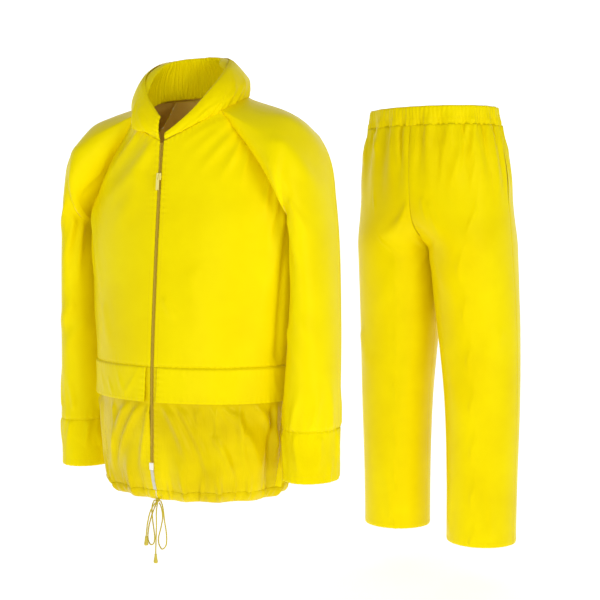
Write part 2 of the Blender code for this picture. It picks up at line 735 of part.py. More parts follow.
def leg_panels(stand, finish):
    """Each leg's front and back panels, from the waistband to the hem. In the side seam the front
    panel's edge stands off the back one's, which leaves the pocket's slit."""
    low = [LEG_HEM_Z, -0.86, -0.70, -0.55, -0.44, -0.37, -0.330, -0.308, -0.280]
    high = [SLIT_LOW, -0.205, -0.165, -0.125, SLIT_TOP, -BAND_HEIGHT - SEAM]
    z = np.array(low + high)[:, None]
    slit = SLIT_OPEN * np.sin(pi * np.clip((z - SLIT_LOW) / (SLIT_TOP - SLIT_LOW), 0, 1))
    gap = SEAM / 0.5
    across = np.linspace(0, 1, 19)[None, :]
    for side, stride in (("left", LEFT_STRIDE), ("right", RIGHT_STRIDE)):
        for name, start, end in (("front", gap, 0.5 - gap - slit), ("back", 0.5 + gap, 1 - gap)):
            turn, height = np.broadcast_arrays(start + (end - start) * across, z)
            patch_points = leg_patch(turn, height, stride, side)
            wall(f"leg_{name}_{side}", *patch_points, stand, finish)


def waistband(stand, finish):
    """The elasticated casing: a ring drawn into upright ribs."""
    columns = 2 * WAIST_RIBS
    angle = 2 * pi * np.arange(columns) / columns
    z = np.array([-BAND_HEIGHT, 0.0])[:, None]
    width, depth = smooth(z, LEG["z"], LEG["outer"]), smooth(z, LEG["z"], LEG["front"])
    middle = smooth(z, LEG["z"], LEG["middle"])
    y = middle - depth * np.cos(angle)
    points = np.stack([width * np.sin(angle), y, z + 0 * angle], axis=-1)
    normals = grid_normals(points)
    ribs = RIB_DEPTH * (np.arange(columns) % 2)
    wall("waistband", points, normals, stand, finish, outer=2 * CLOTH + ribs, closed=True)


def garment(name, place, turn):
    """The empty that a garment hangs from."""
    made = bpy.data.objects.new(name, None)
    SUIT.objects.link(made)
    made.location = place
    made.rotation_euler = (0, 0, -turn)
    return made


for leftover in list(bpy.data.objects):
    bpy.data.objects.remove(leftover)
SUIT = bpy.data.collections.new("rain_suit")
CUTTERS = bpy.data.collections.new("cutters")
for group in (SUIT, CUTTERS):
    bpy.context.scene.collection.children.link(group)
CUTTERS.hide_render = True

coated_cloth = material("coated_cloth", (0.93, 0.80, 0.0), 0.38)
zip_tape = material("zip_tape", (0.62, 0.47, 0.02), 0.70)
zip_teeth = material("zip_teeth", (0.50, 0.36, 0.02), 0.45)
clear_film = material("clear_film", (0.72, 0.68, 0.55), 0.30)
painted_slider = material("painted_slider", (0.90, 0.80, 0.20), 0.35)
round_cord = material("round_cord", (0.62, 0.52, 0.06), 0.70)
cord_bell = material("cord_bell", (0.62, 0.52, 0.06), 0.45)

jacket = garment("jacket", (0, 0, 0), JACKET_TURN)
upper_front(jacket, coated_cloth)
lower_front(jacket, coated_cloth)
back(jacket, coated_cloth)
sleeve_and_cuff(jacket, coated_cloth)
collar(jacket, coated_cloth)
packed_hood(jacket, coated_cloth)
pocket_flaps(jacket, coated_cloth)
hem_tunnel(jacket, coated_cloth)
zip_closure(jacket, zip_tape, zip_teeth, clear_film)
slider_and_pull(jacket, painted_slider)
drawcord(jacket, round_cord, cord_bell)

trousers = garment("trousers", TROUSERS_PLACE, TROUSERS_TURN)
leg_panels(trousers, coated_cloth)
waistband(trousers, coated_cloth)
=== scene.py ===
# %% [markdown]
# # A yellow rain suit: a hooded jacket and over-trousers
#
# The suit is thin coated nylon, filled out as if somebody wore it. This lesson dresses the packed
# model of it: every plain cloth solid is replaced by a fine sheet on the same form, with the folds
# that gathers, seams and elastic put into it. The zip gets its teeth, the seams their stitches and
# the hem its drawcord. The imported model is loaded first, because it says where everything is.

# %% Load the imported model
import json
from math import atan, atan2, cos, pi, radians, sin

import bpy
import numpy as np
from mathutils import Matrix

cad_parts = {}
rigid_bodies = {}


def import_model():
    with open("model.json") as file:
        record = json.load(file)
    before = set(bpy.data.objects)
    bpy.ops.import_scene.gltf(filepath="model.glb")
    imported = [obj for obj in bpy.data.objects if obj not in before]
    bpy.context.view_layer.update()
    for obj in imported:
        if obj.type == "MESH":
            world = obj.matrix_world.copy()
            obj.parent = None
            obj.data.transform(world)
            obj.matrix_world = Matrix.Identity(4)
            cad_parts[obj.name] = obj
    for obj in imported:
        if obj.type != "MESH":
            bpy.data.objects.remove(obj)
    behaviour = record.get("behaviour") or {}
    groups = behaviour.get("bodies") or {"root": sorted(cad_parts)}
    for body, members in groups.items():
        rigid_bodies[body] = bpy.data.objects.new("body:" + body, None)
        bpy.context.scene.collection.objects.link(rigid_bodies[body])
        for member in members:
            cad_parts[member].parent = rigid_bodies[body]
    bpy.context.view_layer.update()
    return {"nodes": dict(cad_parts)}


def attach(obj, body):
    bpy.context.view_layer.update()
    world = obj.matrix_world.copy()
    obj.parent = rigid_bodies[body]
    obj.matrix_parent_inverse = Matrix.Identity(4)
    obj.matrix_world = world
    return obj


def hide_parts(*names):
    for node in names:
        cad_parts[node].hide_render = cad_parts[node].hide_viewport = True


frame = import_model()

# %% [markdown]
# ## The camera
#
# The photograph was taken level with the waist, from a little way off. A vanishing point can't be
# found on cloth, so the camera was fitted to the outline: its distance and focal length were
# changed until the hem, the cuffs and the collar all lay on their pixels. The picture is 600 pixels
# square, and the focal length is kept in those pixels.

# %% Camera
PICTURE = 600
FOCAL_PIXELS = 1207
HORIZON_PIXEL = 230
CAMERA_PLACE = (0.2068, -2.4, -0.2525)
SENSOR = 36

camera = bpy.data.objects.new("camera", bpy.data.cameras.new("camera"))
bpy.context.scene.collection.objects.link(camera)
camera.data.sensor_width = SENSOR
camera.data.lens = SENSOR * FOCAL_PIXELS / PICTURE
camera.location = CAMERA_PLACE
camera.rotation_euler = (pi / 2 - atan((PICTURE / 2 - HORIZON_PIXEL) / FOCAL_PIXELS), 0, 0)
bpy.context.scene.camera = camera
print("lens, mm:", round(camera.data.lens, 1))

# %% [markdown]
# ## Curves from short tables
#
# A pattern cutter keeps a garment as a short list of widths at given heights, and draws a smooth
# line through them. The same is done here: a table holds a row for each height, and smooth() runs a
# cubic through its points. A spline object could do it, but a formula on whole arrays is quicker
# and can be used for thousands of points at once.


# %% Smooth lines through tables
def table(columns, *rows):
    """The rows of a short table as one array for each named column."""
    return dict(zip(columns.split(), np.array(rows, float).T))


def smooth(x, knots, values):
    """Cubic through the points, whose slope at each knot is the mean of the chords beside it."""
    x = np.clip(x, knots[0], knots[-1])
    chord = np.diff(values) / np.diff(knots)
    slope = np.concatenate([chord[:1], (chord[1:] + chord[:-1]) / 2, chord[-1:]])
    i = np.clip(np.searchsorted(knots, x) - 1, 0, len(knots) - 2)
    step = knots[i + 1] - knots[i]
    t = (x - knots[i]) / step
    start = values[i] * (1 + 2 * t) + slope[i] * step * t
    end = values[i + 1] * (3 - 2 * t) - slope[i + 1] * step * (1 - t)
    return start * (1 - t) ** 2 + end * t**2


def fade(x, start, end):
    """0 before start, 1 after end, and t t (3 - 2 t) between."""
    t = np.clip((x - start) / (end - start), 0, 1)
    return t * t * (3 - 2 * t)


print("half way up a fade:", fade(0.5, 0, 1))

# %% [markdown]
# ## The jacket's own form
#
# The jacket is worked out about its own upright axis, with -Y at the wearer's front, and is then
# turned a little to one side. Its body is an ellipse at each height, deeper or shallower behind
# than in front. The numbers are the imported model's own, so that the fine cloth lies on the solids.

# %% Body of the jacket
CLOTH = 0.0015
SEAM = 0.0004
JACKET = (radians(28), (0, 0, 0))
HEM_Z = -0.766
TUNNEL_Z = -0.748
FLAP_Z = -0.510
FLAP_DEPTH = 0.066
UNDERARM_Z = -0.225
SIDE_SEAM = radians(84)
RAGLAN_FRONT = radians(54)
RAGLAN_BACK = radians(128)
HEM_GATHERS = 17
GATHER_DEPTH = 0.0045
GATHER_RISE = 0.15
BODY_RADIUS = 0.19
SIDES = {"left": 1, "right": -1}
MIRROR = np.array([-1, 1, 1])
LEVEL = np.array([1, 1, 0])
UP = np.array([0, 0, 1])

BODY = table(
    "z half_width front back",
    (-0.766, 0.177, 0.132, 0.140),
    (-0.748, 0.186, 0.142, 0.150),
    (-0.718, 0.192, 0.152, 0.155),
    (-0.640, 0.200, 0.155, 0.152),
    (-0.540, 0.211, 0.154, 0.147),
    (-0.440, 0.218, 0.149, 0.142),
    (-0.340, 0.225, 0.141, 0.138),
    (-0.260, 0.229, 0.134, 0.136),
    (-0.200, 0.224, 0.128, 0.136),
    (-0.120, 0.186, 0.120, 0.133),
    (-0.060, 0.142, 0.111, 0.118),
    (0.000, 0.109, 0.098, 0.096),
    (0.020, 0.102, 0.092, 0.088),
)
NECK = table("angle z", (0, -0.084), (54, -0.026), (90, 0.000), (128, 0.010), (180, 0.016))


def placed(points, garment):
    """Points of a garment in the model's frame: turned clockwise about Z, then moved."""
    turn, place = garment
    x, y, z = np.moveaxis(points, -1, 0)
    turned = [cos(turn) * x + sin(turn) * y, cos(turn) * y - sin(turn) * x, z]
    return np.stack(turned, axis=-1) + place


def mirrored(*grids):
    """Grids of the left side as grids of the right: x changes sign and the columns run back."""
    return tuple(grid[:, ::-1] * MIRROR for grid in grids)


def neck_height(angle):
    """Height of the neck seam at an angle from the front, the same on both sides."""
    degrees_round = np.degrees(np.abs((angle + pi) % (2 * pi) - pi))
    return smooth(degrees_round, NECK["angle"], NECK["z"])


def body_surface(angle, z):
    """Inner face of the body: x is half the width times sin(angle), y is the depth in front or
    behind times -cos(angle), and both swell by the cosine wave of the hem's gathers."""
    across, out = np.sin(angle), np.cos(angle)
    front, behind = (smooth(z, BODY["z"], BODY[name]) for name in ("front", "back"))
    depth = np.where(out > 0, front, behind)
    wave = np.cos(HEM_GATHERS * angle + 1.2 * np.sin(3 * angle))
    gather = GATHER_DEPTH * wave * (1 - fade(z, TUNNEL_Z, HEM_Z + GATHER_RISE))
    gather = gather * fade(np.abs(np.sin(angle / 2)), 0.02, 0.10)
    width = smooth(z, BODY["z"], BODY["half_width"])
    return np.stack([(width + gather) * across, -(depth + gather) * out, z + 0 * angle], axis=-1)


def unit(vectors):
    """Vectors divided by their own lengths."""
    return vectors / np.maximum(np.linalg.norm(vectors, axis=-1, keepdims=True), 1e-12)


def normals_of(surface, u, v, small=1e-4):
    """Outward unit normals of a surface: the cross product of its slopes along u and along v."""
    along_u = surface(u + small, v) - surface(u - small, v)
    along_v = surface(u, v + small) - surface(u, v - small)
    return unit(np.cross(along_u, along_v))


def raised(surface, u, v, height):
    """Points that stand off a surface by a height along its normals."""
    return surface(u, v) + normals_of(surface, u, v) * np.asarray(height)[..., None]


print("chest round the body, metres:", round(2 * pi * float(np.hypot(0.229, 0.135)) / 2**0.5, 2))

# %% [markdown]
# ## The drawcord
#
# A round braided cord runs in a tunnel round the hem and is tied in a bow at the front: two long
# loops, and two ends that each carry a moulded bell. Nothing in the bow is straight, so each cord
# is a smooth curve through a few given points, measured from the knot. The same points made the
# imported cords. A curve object with a round bevel keeps its own centre line, which lets the
# length be measured.

# %% Cord routes, from the knot: x to the wearer's left, out of the cloth, up
CORD = 0.0026
KNOT_DOWN = -0.001
KNOT_OUT = 0.0065
KNOT = placed(body_surface(0.0, HEM_Z) + np.array([0, -KNOT_OUT, KNOT_DOWN]), JACKET)

LOOP_LEFT = (
    (0.0070, 0.000, 0.000),
    (0.0130, 0.003, -0.008),
    (0.019, 0.005, -0.036),
    (0.023, 0.004, -0.068),
    (0.020, 0.003, -0.086),
    (0.011, 0.002, -0.093),
    (0.003, 0.000, -0.086),
    (0.001, -0.001, -0.074),
    (0.006, -0.002, -0.053),
    (0.010, -0.002, -0.032),
    (0.0070, -0.002, -0.014),
    (0.0030, -0.0015, -0.0048),
)
LOOP_RIGHT = (
    (-0.0070, 0.000, 0.000),
    (-0.0100, 0.003, -0.010),
    (-0.009, 0.004, -0.038),
    (-0.006, 0.004, -0.058),
    (-0.006, 0.002, -0.076),
    (-0.010, 0.001, -0.086),
    (-0.017, 0.000, -0.088),
    (-0.023, -0.001, -0.080),
    (-0.023, -0.002, -0.060),
    (-0.018, -0.003, -0.038),
    (-0.0090, -0.003, -0.016),
    (-0.0030, -0.0015, -0.0048),
)
END_LEFT = (
    (0.0022, 0.0030, -0.0039),
    (0.0035, 0.009, -0.018),
    (0.004, 0.010, -0.045),
    (0.002, 0.009, -0.075),
    (0.001, 0.009, -0.102),
)
END_RIGHT = (
    (-0.0022, 0.0030, -0.0039),
    (-0.008, 0.010, -0.017),
    (-0.015, 0.011, -0.040),
    (-0.020, 0.010, -0.070),
)


def route(points, count=120):
    """Evenly spaced points, in the model's frame, along a smooth curve through the given ones."""
    points = np.array(points) * np.array([1, -1, 1])
    lengths = np.concatenate([[0], np.cumsum(np.linalg.norm(np.diff(points, axis=0), axis=1))])
    fine = np.linspace(0, lengths[-1], 400)
    curve = np.stack([smooth(fine, lengths, column) for column in points.T], axis=-1)
    run = np.concatenate([[0], np.cumsum(np.linalg.norm(np.diff(curve, axis=0), axis=1))])
    places = np.linspace(0, run[-1], count)
    even = np.stack([np.interp(places, run, column) for column in curve.T], axis=-1)
    return placed(even, (JACKET[0], KNOT)), run[-1]


# %% Make the four cords
def round_curve(name, path, node_name, resolution, closed=False):
    """A tube along a path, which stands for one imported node. Its thickness is kept in the points'
    own radius, because the box of a curve counts that radius too."""
    data = bpy.data.curves.new(name, "CURVE")
    data.dimensions = "3D"
    data.bevel_depth = 1.0
    data.bevel_resolution = resolution
    data.use_fill_caps = not closed
    spline = data.splines.new("POLY")
    spline.points.add(len(path) - 1)
    spline.points.foreach_set("co", np.c_[path, np.ones(len(path))].ravel())
    spline.points.foreach_set("radius", np.full(len(path), CORD / 2))
    spline.use_cyclic_u = closed
    made = bpy.data.objects.new(name, data)
    bpy.context.scene.collection.objects.link(made)
    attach(made, "suit")
    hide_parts(node_name)
    return made


def cord_piece(node_name, points):
    """One part of the drawcord that shows; its measured length is printed."""
    path, length = route(points)
    made = round_curve(f"{node_name}_braid", path, node_name, 3)
    print(node_name, "is", round(length * 1000), "mm long")
    return made


CORDS = [
    cord_piece("cord_loop_left", LOOP_LEFT),
    cord_piece("cord_loop_right", LOOP_RIGHT),
    cord_piece("cord_end_left", END_LEFT),
    cord_piece("cord_end_right", END_RIGHT),
]

# %% [markdown]
# ## The finishes
#
# Coated nylon is a tight plain weave under a thin skin of polyurethane: bright and even, a little
# glossy, softly crumpled, with faint streaks along the threads. One node group makes these
# effects, so that each cloth material only gives it a colour and its own strengths. The group also
# paints soft patches of a deeper tone at random, as painted shade of large folds. It puts out a
# colour, a roughness and a normal, and the shader itself stays in the material, where its plain
# numbers can be read.


# %% A node group for coated weave
def links(tree, *rows):
    """Joins sockets. Each row is a node and its output, then a node and its input."""
    for giver, output, taker, entry in rows:
        tree.links.new(giver.outputs[output], taker.inputs[entry])


def fill(made, values):
    """Gives a node's inputs their values, by label."""
    for label, value in values.items():
        made.inputs[label].default_value = value


def node(tree, kind, **settings):
    """A node of one kind; settings that name an input set its value, the others its properties."""
    made = tree.nodes.new(kind)
    for name, value in settings.items():
        plain = name.replace("_", " ").title()
        if plain in made.inputs:
            made.inputs[plain].default_value = value
        else:
            setattr(made, name, value)
    return made


def group(name, inputs, outputs):
    """A shader node group with named sockets: (name, kind, value) for each input."""
    tree = bpy.data.node_groups.new(name, "ShaderNodeTree")
    for label, kind, value in inputs:
        socket = tree.interface.new_socket(label, in_out="INPUT", socket_type=f"NodeSocket{kind}")
        socket.default_value = value
    for label, kind in outputs:
        tree.interface.new_socket(label, in_out="OUTPUT", socket_type=f"NodeSocket{kind}")
    return tree, tree.nodes.new("NodeGroupInput"), tree.nodes.new("NodeGroupOutput")


def coated_weave():
    """Colour drifts at random between two tones over a hand's width, the deeper one being painted
    shade of large folds; roughness follows the streaks, and the bump adds crumple at two sizes,
    streaks along the warp, and the weave itself."""
    tree, given, put = group(
        "coated_weave",
        [
            ("Bright", "Color", (1, 1, 1, 1)),
            ("Deep", "Color", (0.5, 0.5, 0.5, 1)),
            ("Painted Shade Share", "Float", 0.5),
            ("Crumple", "Float", 0.3),
            ("Streaks", "Float", 0.2),
            ("Roughness", "Float", 0.4),
        ],
        [("Color", "Color"), ("Roughness", "Float"), ("Normal", "Vector")],
    )
    place = node(tree, "ShaderNodeTexCoord")
    drift = node(tree, "ShaderNodeTexNoise", scale=7.0, detail=3.0, roughness=0.55)
    soften = node(tree, "ShaderNodeMapRange", from_min=0.35, from_max=0.72)
    share = node(tree, "ShaderNodeMath", operation="MULTIPLY")
    tone = node(tree, "ShaderNodeMix", data_type="RGBA")
    large = node(tree, "ShaderNodeTexNoise", scale=22.0, detail=2.0, roughness=0.5, distortion=0.6)
    small = node(tree, "ShaderNodeTexNoise", scale=95.0, detail=3.0, roughness=0.6, distortion=0.3)
    warp = node(tree, "ShaderNodeMapping", scale=(900.0, 14.0, 1.0))
    streak = node(tree, "ShaderNodeTexNoise", scale=1.0, detail=2.0)
    yarn = node(tree, "ShaderNodeMapping", scale=(1700.0, 1700.0, 1.0))
    weave = node(tree, "ShaderNodeTexChecker", scale=1.0)
    bumps = [
        node(tree, "ShaderNodeBump", distance=0.0060),
        node(tree, "ShaderNodeBump", distance=0.0012),
        node(tree, "ShaderNodeBump", distance=0.0003),
        node(tree, "ShaderNodeBump", distance=0.00003, strength=0.3),
    ]
    gloss = node(tree, "ShaderNodeMapRange", from_min=0.3, from_max=0.7, to_min=-0.05, to_max=0.05)
    rough = node(tree, "ShaderNodeMath", operation="ADD")
    links(
        tree,
        (place, "Object", drift, "Vector"),
        (drift, "Fac", soften, "Value"),
        (soften, "Result", share, 0),
        (given, "Painted Shade Share", share, 1),
        (share, 0, tone, "Factor"),
        (given, "Bright", tone, "A"),
        (given, "Deep", tone, "B"),
        (place, "Object", large, "Vector"),
        (place, "Object", small, "Vector"),
        (place, "UV", warp, "Vector"),
        (warp, "Vector", streak, "Vector"),
        (place, "UV", yarn, "Vector"),
        (yarn, "Vector", weave, "Vector"),
        (large, "Fac", bumps[0], "Height"),
        (small, "Fac", bumps[1], "Height"),
        (streak, "Fac", bumps[2], "Height"),
        (weave, "Fac", bumps[3], "Height"),
        (given, "Crumple", bumps[0], "Strength"),
        (given, "Crumple", bumps[1], "Strength"),
        (given, "Streaks", bumps[2], "Strength"),
        (bumps[0], "Normal", bumps[1], "Normal"),
        (bumps[1], "Normal", bumps[2], "Normal"),
        (bumps[2], "Normal", bumps[3], "Normal"),
        (streak, "Fac", gloss, "Value"),
        (gloss, "Result", rough, 0),
        (given, "Roughness", rough, 1),
        (tone, "Result", put, "Color"),
        (rough, 0, put, "Roughness"),
        (bumps[3], "Normal", put, "Normal"),
    )
    return tree


WEAVE = coated_weave()
print("coated_weave has", len(WEAVE.nodes), "nodes")


# %% Cloth materials
SHEEN = (1.0, 0.86, 0.12, 1.0)


def shaded(name, values):
    """A new material with its node tree and its Principled shader, which gets the values."""
    made = bpy.data.materials.new(name)
    made.use_nodes = True
    shader = made.node_tree.nodes["Principled BSDF"]
    fill(shader, values)
    return made, made.node_tree, shader


def cloth_finish(name, bright, deep, drift, crumple, streaks, roughness, specular):
    """A Principled shader fed by the coated weave: deep is its painted-shade tone, drift that tone's
    share.
    """
    made, tree, shader = shaded(name, {"Specular IOR Level": specular, "Specular Tint": SHEEN})
    effect = tree.nodes.new("ShaderNodeGroup")
    effect.node_tree = WEAVE
    fill(effect, {"Bright": (*bright, 1), "Deep": (*deep, 1), "Painted Shade Share": drift, "Crumple": crumple})
    fill(effect, {"Streaks": streaks, "Roughness": roughness})
    links(
        tree,
        (effect, "Color", shader, "Base Color"),
        (effect, "Roughness", shader, "Roughness"),
        (effect, "Normal", shader, "Normal"),
    )
    return made


# Cloth yellow, and a deeper yellow that is painted shade of large folds
YELLOW, PAINTED_SHADE_YELLOW = (0.960, 0.800, 0.000), (0.780, 0.580, 0.000)
# Satin pair: the yellow made darker all over, as painted shade on the lower fronts and the tunnel;
# its gloss is the finish's own
SHADED_SATIN_YELLOW, SHADED_SATIN_DEEP = (0.860, 0.680, 0.000), (0.620, 0.450, 0.000)
# Brown pair for the inner face: the yellow cloth turned brown, as painted shade of the garment's
# inside
INSIDE_SHADE_BROWN, INSIDE_DEEP_SHADE_BROWN = (0.95, 0.70, 0.16), (0.82, 0.58, 0.12)
# Each finish: its two tones, the second being painted shade, then drift, crumple, streaks, roughness
# and specular level
OUTSIDE = cloth_finish("coated_nylon", YELLOW, PAINTED_SHADE_YELLOW, 0.40, 0.13, 0.10, 0.42, 0.22)
SHADED_SATIN = cloth_finish("coated_nylon_satin_shaded", SHADED_SATIN_YELLOW, SHADED_SATIN_DEEP, 0.85, 0.22, 0.40, 0.30, 0.35)
PUCKERED = cloth_finish("coated_nylon_crumpled", YELLOW, PAINTED_SHADE_YELLOW, 0.50, 0.45, 0.10, 0.45, 0.12)
INSIDE_PAINTED_SHADE = cloth_finish("nylon_inside_painted_shade", INSIDE_SHADE_BROWN, INSIDE_DEEP_SHADE_BROWN, 0.5, 0.2, 0.2, 0.6, 0.1)
print("cloth finishes:", OUTSIDE.name, SHADED_SATIN.name, PUCKERED.name, INSIDE_PAINTED_SHADE.name)

# %% [markdown]
# ## Fine sheets on worked-out surfaces
#
# A panel of cloth is a grid of points, in rows going up and columns going round. Its place comes
# from the garment's surface, and its relief is a height along the surface's normals. Blender's
# cloth simulation could crease a tube, but never with these folds in these places, so each fold is
# given one by one. A Solidify modifier then gives the sheet its thickness and its inner face.

# %% Grids and their cut
SHOWN_CLOTH = 0.0008
GRIDS = {}


def lengths_along(points, axis):
    """Running length from the first point of each row (axis 1) or column (axis 0)."""
    steps = np.linalg.norm(np.diff(points, axis=axis), axis=-1)
    start = np.zeros_like(steps[:1] if axis == 0 else steps[:, :1])
    return np.concatenate([start, np.cumsum(steps, axis=axis)], axis=axis)


def grid_faces(rows, columns, closed=False):
    """Quads between neighbouring rows and columns, turned to face outwards."""
    index = np.arange(rows * columns).reshape(rows, columns)
    if closed:
        index = np.concatenate([index, index[:, :1]], axis=1)
    corners = [index[:-1, :-1], index[:-1, 1:], index[1:, 1:], index[1:, :-1]]
    return np.stack(corners, axis=-1).reshape(-1, 4)


def add_mesh(name, points, faces, finishes, corners=None, body="suit"):
    """A smooth-shaded mesh that rides on a body. Faces are rows of an array, or a list where they
    have different numbers of corners; corners is the flat place of each face corner."""
    faces = faces if isinstance(faces, list) else faces.tolist()
    mesh = bpy.data.meshes.new(name)
    mesh.from_pydata(np.asarray(points).reshape(-1, 3).tolist(), [], faces)
    if corners is not None:
        flat = mesh.uv_layers.new(name="cut")
        flat.data.foreach_set("uv", np.asarray(corners, np.float32).ravel())
    for finish in finishes:
        mesh.materials.append(finish)
    mesh.shade_smooth()
    made = bpy.data.objects.new(name, mesh)
    bpy.context.scene.collection.objects.link(made)
    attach(made, body)
    return made


def sheet(node_name, plain, shown, garment, finish=None, closed=False):
    """The shown cloth of one panel: it stands for the node. Its cut is measured before creasing."""
    GRIDS[node_name] = placed(shown, garment), closed
    around = np.concatenate([plain, plain[:, :1]], axis=1) if closed else plain
    flat = np.stack([lengths_along(around, 1), lengths_along(around, 0)], axis=-1).reshape(-1, 2)
    corners = flat[grid_faces(*around.shape[:2])]
    faces = grid_faces(*shown.shape[:2], closed)
    # The inner face gets the brown painted-shade finish
    both = [finish or OUTSIDE, INSIDE_PAINTED_SHADE]
    made = add_mesh(f"{node_name}_cloth", GRIDS[node_name][0], faces, both, corners)
    thick = made.modifiers.new("thickness", "SOLIDIFY")
    thick.thickness = SHOWN_CLOTH
    thick.offset = -1
    thick.material_offset = 1
    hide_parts(node_name)


# %% [markdown]
# ## Folds, gathers and puckers
#
# A fold is a soft ridge along a line: highest on the line, a little hollow on both sides, and it
# fades out at its far end. It starts where something holds the cloth, such as a seam, an underarm
# or elastic. Each row of a table below is one fold, with its own length, width and depth, because
# real folds are never alike. Along every seam the thread also draws the cloth into small puckers.


# %% Fold shapes
FOLD_STRENGTH = 1.45
ROLL_REACH = 0.003
PUCKER_REACH = 0.012


def folds(rows, across, up):
    """Sum of ridges. Each has the section deep (1 - 0.7 s^2) e^(-s^2), s being the distance from a
    slightly bowed line over the width, and widens by half towards the far end, where it fades."""
    total = np.zeros(np.broadcast(across, up).shape)
    for x0, z0, x1, z1, wide, deep, bow in zip(*rows.values()):
        reach = np.hypot(x1 - x0, z1 - z0)
        t = ((across - x0) * (x1 - x0) + (up - z0) * (z1 - z0)) / reach**2
        aside = ((across - x0) * (z1 - z0) - (up - z0) * (x1 - x0)) / reach
        aside = aside - bow * 4 * t * (1 - t)
        s = aside / (wide * (1 + 0.5 * np.clip(t, 0, 1)))
        ends = fade(t, -0.12, 0.06) * (1 - fade(t, 0.45, 1.05))
        total = total + deep * ends * (1 - 0.7 * s**2) * np.exp(-(s**2))
    return FOLD_STRENGTH * total


def fold_table(per_unit, *rows):
    """Folds as rows of: across and height at the start, the same at the end, then width, depth and
    bow. Heights, widths, depths and bows are in millimetres; per_unit turns across into metres."""
    made = table("x0 z0 x1 z1 wide deep bow", *rows)
    made = {name: column / 1000 for name, column in made.items()}
    made["x0"], made["x1"] = made["x0"] * 1000 * per_unit, made["x1"] * 1000 * per_unit
    return made


def seam_relief(plain, sides=True, roll=0.0007, pucker=0.0005, spacing=0.011):
    """At a sewn edge the cloth rolls in by the roll, and puckers stand across the seam: a cosine
    whose spacing drifts, fading within two fingers' width of the edge."""
    across, up = lengths_along(plain, 1), lengths_along(plain, 0)
    total = np.zeros(across.shape)
    edges = [(across, up), (across[:, -1:] - across, up)] if sides else []
    edges += [(up, across), (up[-1:] - up, across)]
    for away, along in edges:
        drift = 1.8 * np.sin(along * 37) + 1.3 * np.sin(along * 91)
        near = np.exp(-((away / PUCKER_REACH) ** 1.5))
        total = total - roll * (1 - fade(away, 0, ROLL_REACH))
        total = total + pucker * np.cos(2 * pi * along / spacing + drift) * near
    return total


def calm(plain, low=True, high=True, reach=0.010):
    """0 at a panel's lower and upper edge, 1 a finger's width away, so that neighbours meet."""
    up = lengths_along(plain, 0)
    below = fade(up, 0, reach) if low else 1
    return below * (fade(up[-1:] - up, 0, reach) if high else 1)


def spread(count, margin=0.02):
    """From 0 to 1, with a few extra places close to both ends, where cloth rolls into a seam."""
    inside = np.linspace(margin, 1 - margin, count)
    first, last = [0, margin / 4, margin / 2], [1 - margin / 2, 1 - margin / 4, 1]
    return np.concatenate([first, inside, last])


section = [round(float((1 - 0.7 * s**2) * np.exp(-(s**2))), 2) for s in (0, 1, 2)]
print("a fold's height over its width:", section)

# %% [markdown]
# ## The jacket's fronts and back
#
# Five panels make the body: two upper fronts down to the pocket seam, two gathered lower fronts,
# and one back. The folds that the eye catches run from the raglan seam down across the chest, out
# from under the pocket flaps, and up from the hem, which the drawcord gathers. The back has the
# like. Angles are in degrees from the front, to the wearer's left.

# %% Folds of the body
DEGREE = radians(1) * BODY_RADIUS
FRONT_FOLDS = fold_table(
    DEGREE,
    (56, -44, 12, -99, 8, 1.9, 6),
    (60, -50, 17, -121, 9, 2.2, 8),
    (61, -66, 22, -151, 8, 2.4, 9),
    (62, -82, 32, -171, 7, 2.2, 6),
    (63, -98, 44, -182, 8, 1.8, 4),
    (68, -160, 57, -228, 7, 2.0, 3),
    (70, -177, 62, -256, 7, 2.2, -3),
    (73, -225, 67, -372, 13, 3.4, 4),
    (62, -250, 60, -440, 20, 2.4, -6),
    (6, -383, 14, -428, 7, 1.4, 2),
    (20, -330, 34, -480, 22, 1.5, 8),
    (-9, -96, -44, -206, 20, 3.4, -10),
    (-27, -70, -60, -166, 17, 2.8, -8),
    (-14, -150, -34, -270, 24, 2.0, -8),
    (-70, -190, -54, -276, 9, 2.8, -4),
    (-76, -215, -64, -376, 11, 3.2, -4),
    (-62, -205, -40, -392, 15, 2.4, 5),
    (-74, -330, -62, -480, 15, 2.4, 4),
    (-40, -400, -30, -500, 14, 1.4, 3),
    (74, -330, 74, -640, 10, -3.0, 0),
)
SKIRT_FOLDS = fold_table(
    DEGREE,
    (7, -575, 26, -722, 9, 4.6, -6),
    (14, -572, 38, -744, 8, 3.8, -8),
    (26, -570, 30, -650, 7, 2.6, 2),
    (33, -572, 46, -700, 9, 2.8, -4),
    (40, -576, 69, -712, 11, 4.8, -8),
    (50, -580, 61, -740, 8, 3.4, 5),
    (37, -640, 52, -750, 8, 3.6, -4),
    (60, -576, 92, -722, 12, 4.4, -6),
    (76, -580, 84, -730, 10, 3.6, 4),
    (36.6, -570, 37.6, -672, 2.4, 1.0, 0),
    (-15, -572, -38, -726, 11, 4.4, 7),
    (-5, -572, -33, -750, 9, 3.8, 9),
    (-2, -585, -11, -736, 7, 3.2, -3),
    (-46, -575, -60, -738, 11, 3.6, 5),
    (-30, -590, -36, -740, 8, 3.0, -4),
    (-62, -575, -84, -728, 12, 4.2, 6),
    (74, -556, 75, -790, 9, -4.0, 0),
)
